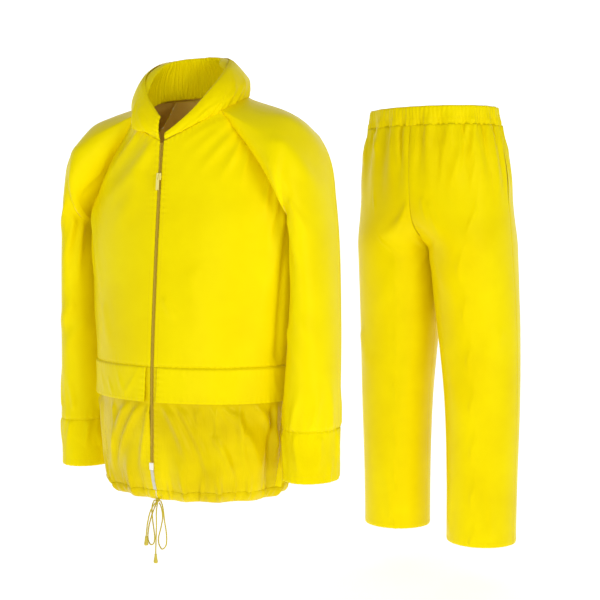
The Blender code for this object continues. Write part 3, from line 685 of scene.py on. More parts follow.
BACK_FOLDS = fold_table(
    DEGREE,
    (126, -28, 166, -112, 10, 2.2, -8),
    (122, -52, 158, -168, 12, 2.6, -9),
    (234, -30, 198, -120, 10, 2.0, 8),
    (238, -60, 204, -186, 12, 2.8, 8),
    (104, -168, 138, -262, 13, 3.2, -7),
    (256, -172, 224, -280, 13, 3.0, 7),
    (92, -222, 104, -420, 14, 3.6, 5),
    (268, -222, 256, -452, 14, 3.4, -5),
    (148, -250, 160, -500, 24, 2.6, 8),
    (206, -230, 196, -470, 24, 2.8, -8),
    (120, -360, 112, -560, 18, 2.8, 5),
    (242, -380, 250, -590, 18, 2.8, -5),
    (178, -90, 184, -330, 22, 1.8, 6),
    (92, -590, 104, -740, 12, 4.4, 4),
    (108, -560, 122, -742, 13, 5.0, 6),
    (138, -585, 130, -745, 10, 4.2, -5),
    (156, -540, 168, -745, 13, 4.8, 6),
    (186, -600, 180, -748, 10, 4.0, -3),
    (202, -550, 214, -745, 13, 4.8, 5),
    (234, -575, 226, -745, 11, 4.2, -5),
    (250, -560, 262, -745, 12, 4.6, 6),
)
HEM_FOLDS = table(
    "angle tall wide deep lean",
    (-78, 58, 5.0, 3.0, -4),
    (-66, 34, 4.0, 2.2, 3),
    (-56, 70, 5.5, 3.2, -5),
    (-47, 30, 3.5, 2.0, 2),
    (-38, 52, 4.5, 2.8, -3),
    (-27, 40, 4.0, 2.4, 4),
    (-17, 62, 5.0, 3.0, -4),
    (-8, 28, 3.5, 2.0, 1),
    (9, 36, 4.0, 2.2, 3),
    (19, 66, 5.5, 3.2, -4),
    (29, 38, 4.0, 2.6, 5),
    (40, 74, 6.0, 3.4, -5),
    (50, 34, 4.0, 2.2, 2),
    (60, 56, 5.0, 3.0, -3),
    (72, 42, 4.5, 2.6, 4),
    (88, 60, 5.0, 3.0, -4),
    (101, 36, 4.0, 2.4, 3),
    (116, 66, 5.5, 3.2, -5),
    (129, 40, 4.5, 2.4, 2),
    (143, 58, 5.0, 3.0, 4),
    (158, 32, 4.0, 2.2, -3),
    (172, 70, 5.5, 3.2, 5),
    (189, 44, 4.5, 2.6, -4),
    (203, 62, 5.0, 3.0, 3),
    (218, 34, 4.0, 2.2, -2),
    (231, 58, 5.0, 3.0, 4),
    (246, 68, 5.5, 3.2, -5),
    (261, 40, 4.5, 2.6, 3),
)


GATHER_STRENGTH = 1.9
# Room for folds under a flap: at its seam, how much more at its lower edge, and how far past it
LID_TOP, LID_FOOT, LID_MARGIN = 0.0002, 0.0035, 0.004


def hem_gathers(angle, z):
    """Short ridges up from the drawcord: each is deepest at the tunnel and thins out to nothing."""
    across, above = np.degrees(angle) * DEGREE, (z - TUNNEL_Z) * 1000
    total = np.zeros(np.broadcast(angle, z).shape)
    for start, tall, wide, deep, lean in zip(*HEM_FOLDS.values()):
        t = np.clip(above / tall, 0, 1)
        s = (across - start * DEGREE - lean / 1000 * t) * 1000 / (wide * (1 + 0.8 * t))
        total = total + deep / 1000 * (1 - t) ** 1.2 * (1 - 0.7 * s**2) * np.exp(-(s**2))
    return GATHER_STRENGTH * total * fade(z, HEM_Z - 0.004, TUNNEL_Z)


def body_relief(angle, z):
    """Everything that stands on the body's own form. It lies flat under the pocket flaps."""
    across = np.degrees(angle) * DEGREE
    front = folds(FRONT_FOLDS, across, z) * (1 - fade(-z, -FLAP_Z - 0.03, -FLAP_Z))
    total = front + folds(SKIRT_FOLDS, across, z) * (1 - fade(z, -0.60, -0.575))
    total = total + folds(BACK_FOLDS, across, z) + hem_gathers(angle, z)
    lid = LID_TOP + LID_FOOT * np.clip((FLAP_Z - z) / FLAP_DEPTH, 0, 1) ** 1.5
    low, high = FLAP_Z - FLAP_DEPTH - LID_MARGIN, FLAP_Z + LID_MARGIN
    under_flap = (z > low) & (z < high) & (np.cos(angle) > 0.1)
    return np.where(under_flap, np.minimum(total, lid), total)


hand_set = [len(rows["x0"]) for rows in (FRONT_FOLDS, SKIRT_FOLDS, BACK_FOLDS)]
print("folds set by hand on the body:", sum(hand_set))


# %% Cut and crease the five body panels
CHAIN_HALF = 0.0025
FRONT_EDGE = 0.0036
SHUT_EDGE = 0.0008
SHUT_BELOW, SHUT_ABOVE = -0.722, -0.706
SLIDER_SPREAD = 0.0010
SLIDER_Z = -0.152


def angle_at(x, z):
    """Angle from the front at which the body's section has this x."""
    return np.arcsin(x / smooth(z, BODY["z"], BODY["half_width"]))


def raglan_angle(share, top):
    """Angle of the raglan seam, a share of the way up. It starts on the side seam, and bends in."""
    return SIDE_SEAM + (top - SIDE_SEAM) * share**0.9


def front_edge(z):
    """Half the gap between the fronts: the width of the chain, a little more above the slider, and
    next to nothing below the zip's end."""
    zipped = SHUT_EDGE + (FRONT_EDGE - SHUT_EDGE) * fade(z, SHUT_BELOW, SHUT_ABOVE)
    return zipped + SLIDER_SPREAD * fade(z, SLIDER_Z + 0.01, -0.08)


def body_panel(node_name, angle, z, finish=None):
    """One panel of the body, creased and with its seams drawn in."""
    angle, z = np.broadcast_arrays(angle, z)
    plain = body_surface(angle, z)
    height = CLOTH + body_relief(angle, z) + seam_relief(plain)
    sheet(node_name, plain, raised(body_surface, angle, z, height), JACKET, finish)


def upper_front(side, sign):
    """From the pocket seam up to the armhole, then between the raglan seam and the opening."""
    below = np.linspace(FLAP_Z, UNDERARM_Z, 62)[:-1]
    share = np.concatenate([np.zeros(len(below)), spread(52)])[:, None]
    across = spread(84)[None, :]
    z = UNDERARM_Z + (neck_height(RAGLAN_FRONT * across) - UNDERARM_Z) * share
    z[: len(below)] = below[:, None]
    outer, inner = raglan_angle(share, RAGLAN_FRONT), angle_at(front_edge(z), z)
    angle = inner + (outer - inner) * across
    if sign < 0:
        angle, z = -angle[:, ::-1], z[:, ::-1]
    body_panel(f"front_upper_{side}", angle, z)


def lower_front(side, sign):
    """The gathered skirt of each front, between the pocket seam and the drawcord tunnel."""
    z = np.linspace(TUNNEL_Z, FLAP_Z, 84)[:, None]
    across = spread(110)[None, :]
    inner = angle_at(front_edge(z), z)
    angle = inner + (SIDE_SEAM - inner) * across
    if sign < 0:
        angle = -angle[:, ::-1]
    # The skirt's satin finish carries painted shade in its darker colours
    body_panel(f"front_lower_{side}", angle, z, SHADED_SATIN)


def back():
    """One piece from side seam to side seam, and between the raglan seams up to the neck."""
    below = np.linspace(TUNNEL_Z, UNDERARM_Z, 110)[:-1]
    share = np.concatenate([np.zeros(len(below)), spread(52)])[:, None]
    across = spread(190, 0.01)[None, :]
    edge = raglan_angle(share, RAGLAN_BACK)
    angle = edge + (2 * pi - 2 * edge) * across
    top = neck_height(RAGLAN_BACK + (2 * pi - 2 * RAGLAN_BACK) * across)
    z = UNDERARM_Z + (top - UNDERARM_Z) * share
    z[: len(below)] = below[:, None]
    body_panel("back", angle, z)


for side, sign in SIDES.items():
    upper_front(side, sign)
    lower_front(side, sign)
back()

# %% [markdown]
# ## Raglan sleeves and deep cuffs
#
# A raglan sleeve runs up to the neck, so its top edge is the seam that it shares with the front,
# the neck and the back. Below that each ring is an ellipse between the sleeve's inner and outer
# line. The rings of a table can't be joined by straight lines here, so each column of points is
# smoothed along the arm. Each hand hangs a little forward or back of the middle.

# %% Sleeve rings
SLEEVE = table(
    "inner_x inner_z outer_x outer_z centre_y half_depth",
    (0.2370, -0.236, 0.205, -0.030, 0.002, 0.100),
    (0.2390, -0.248, 0.252, -0.070, 0.002, 0.092),
    (0.2400, -0.264, 0.279, -0.138, 0.001, 0.084),
    (0.2370, -0.310, 0.300, -0.270, 0.001, 0.075),
    (0.2300, -0.440, 0.314, -0.435, 0.000, 0.068),
    (0.2245, -0.560, 0.321, -0.560, -0.002, 0.064),
    (0.2240, -0.628, 0.324, -0.628, -0.004, 0.062),
    (0.2250, -0.724, 0.323, -0.724, -0.006, 0.058),
)
HANGS = {"left": (-0.026, 0.006), "right": (0.010, -0.017)}
UNDERARM_STEP = CLOTH + 0.0012
FOLD_PUFF = 0.006
SEAM_PARTS = 7
COLUMNS_A_PART = 7
SLEEVE_GIRTH = 0.38


def grid_normals(points):
    """Outward unit normals of a closed tube given as rings [row, column], rows going up."""
    along_u = np.roll(points, -1, axis=1) - np.roll(points, 1, axis=1)
    return unit(np.cross(along_u, np.gradient(points, axis=0)))


def raglan_ring():
    """The sleeve's top edge: up the front seam, round the neck, down the back seam. Also the share
    of the way round of each of its points."""
    part = np.arange(SEAM_PARTS * COLUMNS_A_PART) / (SEAM_PARTS * COLUMNS_A_PART)
    neck = RAGLAN_FRONT + (RAGLAN_BACK - RAGLAN_FRONT) * part
    front_top, back_top = neck_height(RAGLAN_FRONT) - SEAM, neck_height(RAGLAN_BACK) - SEAM
    up, down = raglan_angle(part, RAGLAN_FRONT), raglan_angle(1 - part, RAGLAN_BACK)
    angle = np.concatenate([up, neck, down])
    height = np.concatenate(
        [
            UNDERARM_Z + (front_top - UNDERARM_Z) * part,
            neck_height(neck) - SEAM,
            UNDERARM_Z + (back_top - UNDERARM_Z) * (1 - part),
        ]
    )
    return angle, height, np.arange(len(angle)) / len(angle)


def sleeve_rings(hang):
    """Rings from the wrist up to the raglan seam, each starting at the underarm and going round by
    the front: centre + inner half times cos(turn), and the half depth times sin(turn)."""
    angle, height, share = raglan_ring()
    seam = body_surface(angle, height)
    turn = 2 * pi * share
    inner = np.stack([SLEEVE["inner_x"], SLEEVE["centre_y"], SLEEVE["inner_z"]], axis=-1)[:, None]
    outer = np.stack([SLEEVE["outer_x"], SLEEVE["centre_y"], SLEEVE["outer_z"]], axis=-1)[:, None]
    rings = (inner + outer) / 2 + (inner - outer) / 2 * np.cos(turn)[None, :, None]
    rings[..., 1] -= SLEEVE["half_depth"][:, None] * np.sin(turn)
    down = fade(SLEEVE["inner_z"], -0.24, -0.70)[:, None]
    rings[..., 1] += hang[0] * down
    rings[..., 2] += hang[1] * down
    seam_normals = normals_of(body_surface, angle, height)
    facing = (grid_normals(rings[::-1])[-1] * seam_normals).sum(axis=-1, keepdims=True)
    folded = fade(-facing, -0.2, 0.5)
    clear = seam_normals * folded
    seam_normals = unit(seam_normals * (1 - folded) - UP * folded)
    rings = np.concatenate([(seam + clear * UNDERARM_STEP)[None], rings])[::-1]
    return rings, seam_normals, clear, share


def along_sleeve(rings, places):
    """Rings at any places between the given ones, counted from the wrist."""
    knots = np.arange(len(rings), dtype=float)
    columns = rings.reshape(len(rings), -1).T
    between = np.stack([smooth(places, knots, column) for column in columns], axis=-1)
    return between.reshape(-1, *rings.shape[1:])


# %% Folds of the sleeves: share of the way round from the underarm by the front, and height
SLEEVE_FOLDS = fold_table(
    SLEEVE_GIRTH,
    (0.16, -232, 0.30, -330, 12, 2.6, 6),
    (0.10, -240, 0.16, -372, 10, 2.8, -4),
    (0.24, -200, 0.38, -262, 10, 2.0, 5),
    (0.34, -90, 0.46, -190, 18, 2.2, 8),
    (0.44, -40, 0.56, -150, 20, 2.0, -7),
    (0.60, -70, 0.68, -190, 18, 2.2, 8),
    (0.84, -232, 0.70, -336, 12, 2.6, -6),
    (0.92, -240, 0.84, -380, 10, 2.8, 5),
    (0.20, -400, 0.40, -452, 16, 2.4, 8),
    (0.12, -440, 0.30, -520, 14, 2.2, -6),
    (0.82, -390, 0.64, -450, 16, 2.4, -8),
    (0.90, -450, 0.70, -530, 14, 2.2, 6),
    (0.34, -616, 0.38, -530, 9, 1.8, 3),
    (0.22, -618, 0.27, -548, 8, 2.0, -3),
    (0.46, -618, 0.44, -520, 9, 1.6, 4),
    (0.58, -618, 0.60, -550, 8, 1.8, -3),
    (0.70, -618, 0.66, -530, 9, 2.0, 3),
    (0.82, -618, 0.80, -560, 8, 2.2, -2),
    (0.06, -618, 0.05, -550, 8, 2.4, 2),
    (0.96, -618, 0.95, -560, 7, 2.0, -2),
)
CUFF_FOLDS = fold_table(
    SLEEVE_GIRTH,
    (0.24, -632, 0.30, -712, 8, 2.4, 4),
    (0.12, -634, 0.15, -716, 7, 2.6, -3),
    (0.38, -634, 0.36, -706, 9, 2.0, -5),
    (0.52, -632, 0.56, -700, 9, 2.0, 4),
    (0.68, -634, 0.64, -712, 8, 2.4, 4),
    (0.82, -632, 0.86, -710, 7, 2.6, -3),
    (0.96, -634, 0.95, -716, 7, 2.4, 2),
    (0.03, -716, 0.08, -660, 6, 1.8, 2),
    (0.45, -718, 0.47, -672, 6, 1.6, -2),
    (0.60, -718, 0.58, -668, 6, 1.8, 2),
)
TAB = {"left": (0.50, 0.57), "right": (0.43, 0.50)}
TAB_THICK = 0.0013
CUFF_SEAM, RAGLAN_SEAM = 1, 7
CUFF_TUCK = 0.0009


def sleeve_and_cuff(side, sign):
    """The sleeve's rings above the cuff seam, and the cuff below it."""
    rings, seam_normals, clear, share = sleeve_rings(HANGS[side])
    top = RAGLAN_SEAM + spread(16)[1:]
    for name, places in (
        ("cuff", np.append(np.linspace(0, CUFF_SEAM, 34), CUFF_SEAM + 0.015)),
        ("sleeve", np.append(np.linspace(CUFF_SEAM, RAGLAN_SEAM, 96), top)),
    ):
        plain = along_sleeve(rings, places)
        puff = FOLD_PUFF * np.sin(pi * np.clip(places - RAGLAN_SEAM, 0, 1))
        plain = plain + clear * puff[:, None, None]
        normals = grid_normals(plain)
        height = CLOTH + 0 * plain[..., 0]
        if name == "sleeve":
            at_seam = fade(places, 7.6, 8.0)[:, None, None]
            normals = unit(normals * (1 - at_seam) + seam_normals * at_seam)
            quiet = 1 - fade(places, 7.0, 7.6)[:, None] * (np.abs(share - 0.5) > 0.30)
            relief = folds(SLEEVE_FOLDS, share[None, :] * SLEEVE_GIRTH, plain[..., 2])
            height = height + relief * quiet * calm(plain, high=False)
        else:
            relief = folds(CUFF_FOLDS, share[None, :] * SLEEVE_GIRTH, plain[..., 2])
            height = height + relief * calm(plain, low=False)
            height = height - CUFF_TUCK * (places > CUFF_SEAM)[:, None]
            starts, ends = (fade(share, edge - 0.004, edge + 0.004) for edge in TAB[side])
            height = height + TAB_THICK * (starts * (1 - ends))[None, :]
        height = height + seam_relief(plain, sides=False, pucker=0.0006)
        shown = plain + normals * height[..., None]
        if sign < 0:
            plain, shown = mirrored(plain, shown)
        finish = PUCKERED if name == "cuff" else OUTSIDE
        sheet(f"{name}_{side}", plain, shown, JACKET, finish, closed=True)


for side, sign in SIDES.items():
    sleeve_and_cuff(side, sign)

# %% [markdown]
# ## The collar and the hood packed inside it
#
# The collar stands on the neck seam, tall at the back and running down to the zip, and leans in
# towards its top. The hood is rolled up inside it, so a fat soft roll follows the collar all round.
# The roll is many layers of thin cloth pressed together: its skin is full of small wrinkles that
# run across it, which are ridges of uneven spacing here.

# %% Collar
COLLAR = table(
    "angle height lean",
    (2, 0.012, 0.000),
    (20, 0.027, 0.002),
    (45, 0.054, 0.010),
    (68, 0.068, 0.022),
    (100, 0.072, 0.034),
    (140, 0.077, 0.030),
    (180, 0.079, 0.016),
    (230, 0.081, 0.014),
    (290, 0.074, 0.018),
    (325, 0.070, 0.016),
    (345, 0.060, 0.008),
    (358, 0.044, 0.002),
)
COLLAR_RADIUS = 0.105
COLLAR_BOW = 0.010
COLLAR_FOLDS = fold_table(
    radians(1) * COLLAR_RADIUS,
    (14, 0, 30, 16, 4, 1.4, 2),
    (24, 2, 52, 22, 4, 1.6, -3),
    (36, 3, 60, 40, 5, 1.8, 4),
    (47, 2, 82, 34, 5, 2.0, -4),
    (58, 4, 76, 56, 5, 1.8, 3),
    (70, 2, 100, 40, 6, 2.0, -4),
    (84, 3, 96, 54, 5, 1.6, 3),
    (98, 2, 124, 44, 6, 1.8, -4),
    (114, 3, 120, 58, 6, 1.6, 2),
    (132, 2, 150, 50, 6, 1.8, -3),
    (150, 3, 158, 60, 6, 1.6, 2),
    (170, 2, 182, 54, 6, 1.8, -3),
    (190, 3, 184, 60, 6, 1.6, 3),
    (210, 2, 198, 50, 6, 1.8, 3),
    (228, 3, 236, 58, 6, 1.6, -2),
    (248, 2, 234, 50, 6, 1.8, 3),
    (264, 3, 270, 56, 6, 1.6, -2),
    (284, 2, 268, 48, 6, 1.8, 3),
    (302, 3, 296, 56, 5, 1.8, -2),
    (318, 2, 304, 46, 5, 1.8, 3),
    (334, 3, 326, 54, 5, 1.6, -2),
    (350, 2, 336, 40, 4, 1.6, 3),
)


def collar_surface(angle, rise):
    """Inner face of the collar: the neck seam plus height times rise upwards, and outwards a bow of
    sin(pi rise) less the lean times rise squared."""
    base = body_surface(angle, neck_height(angle) + SEAM)
    degrees_round = np.degrees(angle)
    height = smooth(degrees_round, COLLAR["angle"], COLLAR["height"])
    lean = smooth(degrees_round, COLLAR["angle"], COLLAR["lean"])
    outwards = unit(base * LEVEL)
    bow = COLLAR_BOW * np.sin(pi * rise) * np.clip(height / 0.1, 0, 1)
    return base + outwards * (bow - lean * rise**2)[..., None] + UP * (height * rise)[..., None]


LIFT_ANGLE = 334
LIFT_WIDE = 12
LIFT_OUT = 0.010
LIFT_DOWN = 0.012
TUCK = -0.04
TUCK_DEPTH = 0.0010
TOP_ROLL = 0.0022


def collar():
    """The collar's cloth. Its top edge rolls softly inwards over the hood, its lower edge is tucked
    behind the body's, and at the wearer's right front it droops over the seam in a loose lip."""
    rise = np.concatenate([[TUCK], spread(34, 0.03)])[:, None]
    first, last = COLLAR["angle"][[0, -1]]
    angle = np.radians(first + (last - first) * spread(230))[None, :]
    angle, rise = np.broadcast_arrays(angle, rise)
    plain = collar_surface(angle, rise)
    normals = normals_of(collar_surface, angle, rise)
    up = lengths_along(plain, 0)
    height = CLOTH + folds(COLLAR_FOLDS, np.degrees(angle) * radians(1) * COLLAR_RADIUS, up)
    height = height + seam_relief(plain, pucker=0.0006, spacing=0.008)
    height = height - TOP_ROLL * fade(rise, 0.9, 1.0)
    height = height - TUCK_DEPTH * (rise < 0)
    lip = np.exp(-(((np.degrees(angle) - LIFT_ANGLE) / LIFT_WIDE) ** 2)) * fade(rise, 0, 0.16)
    lip = lip * (1 - 0.9 * fade(rise, 0.16, 0.75))
    shown = plain + normals * (height + LIFT_OUT * lip)[..., None] - UP * LIFT_DOWN * lip[..., None]
    sheet("collar", plain, shown, JACKET, PUCKERED)


collar()

# %% The hood roll
HOOD = table(
    "angle half_thick half_height",
    (74, 0.006, 0.018),
    (90, 0.012, 0.028),
    (130, 0.014, 0.030),
    (180, 0.015, 0.030),
    (230, 0.015, 0.031),
    (280, 0.014, 0.030),
    (315, 0.011, 0.024),
    (338, 0.006, 0.015),
)
HOOD_WRINKLES = 74
HOOD_DROOP = 0.007
HOOD_SQUARE = 0.55
FREE_END = 0.007


def hood_roll():
    """A roll of oval section inside the collar. Its wrinkles are ridges 1 - |sin| across the roll,
    whose phase drifts along it and leans round it, so that they merge and part."""
    along = np.linspace(0, 1, 420)[None, :]
    turn = np.linspace(0, 2 * pi, 57)[:-1, None]
    first, last = HOOD["angle"][[0, -1]]
    angle = np.radians(first + (last - first) * along)
    degrees_round = np.degrees(angle)
    thick = smooth(degrees_round, HOOD["angle"], HOOD["half_thick"])
    tall = smooth(degrees_round, HOOD["angle"], HOOD["half_height"]) + HOOD_DROOP
    height = smooth(degrees_round, COLLAR["angle"], COLLAR["height"])
    closing = np.sqrt(np.clip(1 - ((along - 0.5) / 0.5) ** 12, 0.0004, 1))
    middle = np.clip(1 - (tall + 0.004) / height, 0.3, 0.8)
    square_up = np.sign(np.sin(turn)) * np.abs(np.sin(turn)) ** HOOD_SQUARE
    square_in = np.sign(np.cos(turn)) * np.abs(np.cos(turn)) ** HOOD_SQUARE
    rise = middle + (tall + 0.003) * closing / height * square_up
    skin = collar_surface(angle + 0 * turn, np.clip(rise, 0, 1.04))
    inwards = unit(-skin * LEVEL)
    phase = HOOD_WRINKLES * pi * along + 2.4 * np.sin(23 * along + 1.1 * turn)
    phase = phase + 1.5 * np.sin(61 * along - 2 * turn)
    ridge = 1 - np.abs(np.sin(phase / 2 + 0.8 * np.sin(turn * 2 + 17 * along)))
    second = 1 - np.abs(np.sin(phase * 0.83 + 2.1 * np.sin(turn + 9 * along)))
    shown_side = fade(1 + np.cos(turn), 0.25, 1.2)
    wrinkle = (0.0017 * ridge**1.5 + 0.0009 * second**2 - 0.0006) * shown_side * closing
    free_end = FREE_END * (1 - fade(degrees_round, 88, 118))
    depth = 0.0006 + free_end + thick * closing * (1 + square_in) + wrinkle
    points = (skin + inwards * depth[..., None]).transpose(1, 0, 2)
    around, rows = points.shape[1], points.shape[0]
    faces = grid_faces(rows, around, closed=True)[:, ::-1]
    caps = [list(range(around)), list(range(rows * around - 1, (rows - 1) * around - 1, -1))]
    made = add_mesh("hood_roll_cloth", placed(points, JACKET), faces.tolist() + caps, [PUCKERED])
    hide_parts("hood_roll")
    print("hood roll:", len(made.data.polygons), "faces")


hood_roll()

# %% [markdown]
# ## Pocket flaps and the drawcord tunnel
#
# A wide flap covers the pocket mouth on each front. It is sewn into the pocket seam, so its top
# edge is held down and its lower edge stands off the gathered cloth. The tunnel at the hem is a
# folded band that the cord draws in, and it shares the body's gathers.

# %% Flaps and tunnel
LAYER = CLOTH + 0.0006
FLAP_TUCK = -0.022
FLAP_START = 0.0125
FLAP_STAND = 0.004
TUNNEL_TUCK = 1.12
TUNNEL_ROUND = 0.0012
FLAP_FOLDS = fold_table(
    DEGREE,
    (-46, -512, -36, -570, 6, 1.6, 3),
    (-25, -512, -16, -572, 6, 1.8, 3),
    (-8, -512, -20, -574, 6, 1.8, -3),
    (-4, -514, -1.5, -566, 5, 1.2, 0),
    (-62, -514, -70, -572, 7, 1.6, 3),
    (-33, -540, -26, -574, 5, 1.2, 2),
    (18, -514, 24, -566, 9, 0.8, 3),
    (48, -516, 44, -570, 9, 0.9, -3),
    (70, -514, 78, -572, 7, 1.4, 3),
)


def flap(side, sign):
    """A straight-edged flap just off the front. The pocket mouth gapes a little along its top."""
    down = np.append(1 - spread(30, 0.03), FLAP_TUCK)[:, None]
    across = spread(110)[None, :]
    z = FLAP_Z - FLAP_DEPTH * down + 0 * across
    inner = angle_at(FLAP_START, z)
    angle = inner + (SIDE_SEAM - 0.02 - inner) * across
    if sign < 0:
        angle = -angle[:, ::-1]
    plain = body_surface(angle, z)
    sewn = fade(down, -0.02, 0.05)
    gape = 0.0010 * fade(np.abs(angle), radians(38), radians(52)) * np.exp(-((down / 0.12) ** 2))
    height = 0.0004 + (LAYER + CLOTH) * sewn + FLAP_STAND * np.clip(down, 0, 1) ** 1.5
    height = height + folds(FLAP_FOLDS, np.degrees(angle) * DEGREE, z) * np.clip(down, 0, 1)
    height = height + seam_relief(plain, roll=0.0004, pucker=0.0004) * sewn + gape
    sheet(f"flap_{side}", plain, raised(body_surface, angle, z, height), JACKET)


def hem_tunnel():
    """The band round the hem: rounded in section, and drawn in with the body's gathers."""
    share = np.append(np.linspace(0, 1, 14), TUNNEL_TUCK)[:, None]
    z = HEM_Z + (TUNNEL_Z - HEM_Z) * share
    share = np.clip(share, 0, 1)
    start = angle_at(SHUT_EDGE, HEM_Z)
    angle = start + (2 * pi - 2 * start) * np.linspace(0, 1, 560)[None, :]
    angle, z = np.broadcast_arrays(angle, z)
    plain = body_surface(angle, z)
    ruck = 0.0009 * np.cos(angle * 61 + 2 * np.sin(angle * 13)) * np.sin(pi * share)
    height = 2 * CLOTH - TUNNEL_ROUND * (2 * share - 1) ** 4
    height = height + TUNNEL_ROUND * np.sin(pi * share) + ruck
    turned = np.where(angle > pi, angle - 2 * pi, angle)
    height = height + hem_gathers(angle, z) + hem_gathers(turned, z) * (angle > 2 * pi - SIDE_SEAM)
    # The tunnel shares the satin finish and its painted shade
    sheet("hem_tunnel", plain, raised(body_surface, angle, z, height), JACKET, SHADED_SATIN)


for side, sign in SIDES.items():
    flap(side, sign)
hem_tunnel()

# %% [markdown]
# ## The zip
#
# A moulded zip has a woven tape behind each front. Each tape carries a row of teeth, and the slider
# meshes both rows into one chain. Above the slider the rows part, and single teeth can be seen. One
# tooth, a bar with a wider rounded head, is repeated down the zip, turn by turn on each side.

# %% Finishes of the small parts
CORD_OLIVE = (0.62, 0.50, 0.04)


def plain_finish(name, colour, roughness, specular=0.3, scale=400.0, depth=0.0002):
    """A Principled shader whose normal carries a fine grain."""
    values = {"Base Color": (*colour, 1), "Roughness": roughness, "Specular IOR Level": specular}
    made, tree, shader = shaded(name, values)
    place = node(tree, "ShaderNodeTexCoord")
    grain = node(tree, "ShaderNodeTexNoise", scale=scale, detail=2.0)
    bump = node(tree, "ShaderNodeBump", distance=depth, strength=0.5)
    links(
        tree,
        (place, "Object", grain, "Vector"),
        (grain, "Fac", bump, "Height"),
        (bump, "Normal", shader, "Normal"),
    )
    return made


TAPE_FINISH = plain_finish("woven_tape", (0.60, 0.43, 0.02), 0.75, 0.2, 900.0, 0.0004)
TOOTH_FINISH = plain_finish("moulded_teeth", (0.60, 0.42, 0.03), 0.5)
SLIDER_FINISH = plain_finish("painted_zip_slider", (0.90, 0.80, 0.24), 0.35, 0.5, 600.0, 0.00004)
FILM_FINISH = plain_finish("clear_zip_film", (0.62, 0.60, 0.50), 0.25, 0.5, 120.0)
BOX_FINISH = plain_finish("white_zip_box", (0.93, 0.92, 0.84), 0.35, 0.4)
CORD_FINISH = plain_finish("braided_cord", CORD_OLIVE, 0.75, 0.2, 1400.0, 0.0012)
BELL_FINISH = plain_finish("moulded_bell", CORD_OLIVE, 0.40, 0.4)
THREAD = plain_finish("sewing_thread", (0.88, 0.68, 0.01), 0.6, 0.2)

for cord_object in CORDS:
    cord_object.data.materials.append(CORD_FINISH)
KEPT_NODES = {
    "zip_slider": SLIDER_FINISH,
    "zip_pull": SLIDER_FINISH,
    "zip_box": BOX_FINISH,
    "zip_film": FILM_FINISH,
    "zip_tape_left": TAPE_FINISH,
    "zip_tape_right": TAPE_FINISH,
    "cord_bell_left": BELL_FINISH,
    "cord_bell_right": BELL_FINISH,
}
for name, finish in KEPT_NODES.items():
    kept = frame["nodes"][name].data
    kept.materials.clear()
    kept.materials.append(finish)
print("packed pieces that keep their shape:", len(KEPT_NODES))

# %% Teeth
ZIP_END_Z = -0.692
PITCH = 0.0028
ROW_GAP = 0.0012
TOOTH_OVERLAP = 0.0005
TOOTH_TALL = 0.00115
TOOTH_THICK = 0.0018
ZIP_TOP = neck_height(0.0) - 0.004
# Sections of one tooth, from the tape towards the middle: how far along it, and half its height
TOOTH = table("along half", (0.0, 0.42), (0.45, 0.34), (0.72, 0.50), (0.90, 0.50), (1.0, 0.30))


def on_front(x, z, out):
    """Points at a distance from the zip's middle, and out of the cloth's inner face."""
    return raised(body_surface, angle_at(x, z), z, out)


def tooth_row(side, heights):
    """All teeth of one side at once, as points [tooth, section, corner] and their quads."""
    reach = CHAIN_HALF + TOOTH_OVERLAP
    x = side * (CHAIN_HALF - reach * TOOTH["along"])[None, :, None] * np.ones((len(heights), 1, 4))
    corner_z, corner_out = np.array([-1, 1, 1, -1]), np.array([0.0, 0.0, 1.0, 1.0])
    z = heights[:, None, None] + corner_z * TOOTH["half"][None, :, None] * TOOTH_TALL
    out = 0.0002 + corner_out * TOOTH_THICK * np.ones_like(z)
    points = on_front(x, z, out)
    sections = len(TOOTH["along"])
    ring = np.arange(sections * 4).reshape(sections, 4)
    after = np.roll(ring, -1, axis=1)
    sides = np.stack([ring[:-1], after[:-1], after[1:], ring[1:]], axis=-1).reshape(-1, 4)
    one = np.concatenate([sides, [ring[0][::-1]], [ring[-1]]])
    if side > 0:
        one = one[:, ::-1]
    faces = (one[None] + (np.arange(len(heights)) * sections * 4)[:, None, None]).reshape(-1, 4)
    return points.reshape(-1, 3), faces


def zip_band(low, high, x0, x1):
    """The thick tape edge that the teeth are moulded on."""
    z = np.linspace(low, high, 60)[:, None]
    x = np.linspace(x0, x1, 4)[None, :]
    x, z = np.broadcast_arrays(x, z)
    return on_front(x, z, 0.0003 + 0 * x).reshape(-1, 3), grid_faces(60, 4)


def joined(parts):
    """Several (points, faces) as one pair."""
    offsets = np.cumsum([0] + [len(points) for points, _ in parts])
    faces = [faces + offset for (_, faces), offset in zip(parts, offsets)]
    return np.concatenate([points for points, _ in parts]), np.concatenate(faces)


def teeth(name, parts):
    """Teeth with their band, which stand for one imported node."""
    points, faces = joined(parts)
    made = add_mesh(f"{name}_teeth", placed(points, JACKET), faces, [TOOTH_FINISH])
    made.data.set_sharp_from_angle(angle=radians(35))
    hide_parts(name)
    print(name, "has", len(faces), "faces")


closed_heights = np.arange(ZIP_END_Z + ROW_GAP, SLIDER_Z - 0.004, PITCH)
open_heights = np.arange(SLIDER_Z + 0.009, ZIP_TOP - 0.001, PITCH)
chain = [tooth_row(1, closed_heights), tooth_row(-1, closed_heights + PITCH / 2)]
teeth("zip_chain", [*chain, zip_band(ZIP_END_Z, SLIDER_Z, -CHAIN_HALF, CHAIN_HALF)])
for side, sign in SIDES.items():
    edges = sorted((sign * ROW_GAP, sign * CHAIN_HALF))
    band = zip_band(SLIDER_Z + 0.008, ZIP_TOP, *edges)
    teeth(f"zip_row_{side}", [tooth_row(sign, open_heights), band])

# %% The knot of the bow
KNOT_TURNS = np.linspace(0, 2 * pi, 90)[:-1]
KNOT_RADIUS = 0.0030
KNOT_SWING = 0.0014


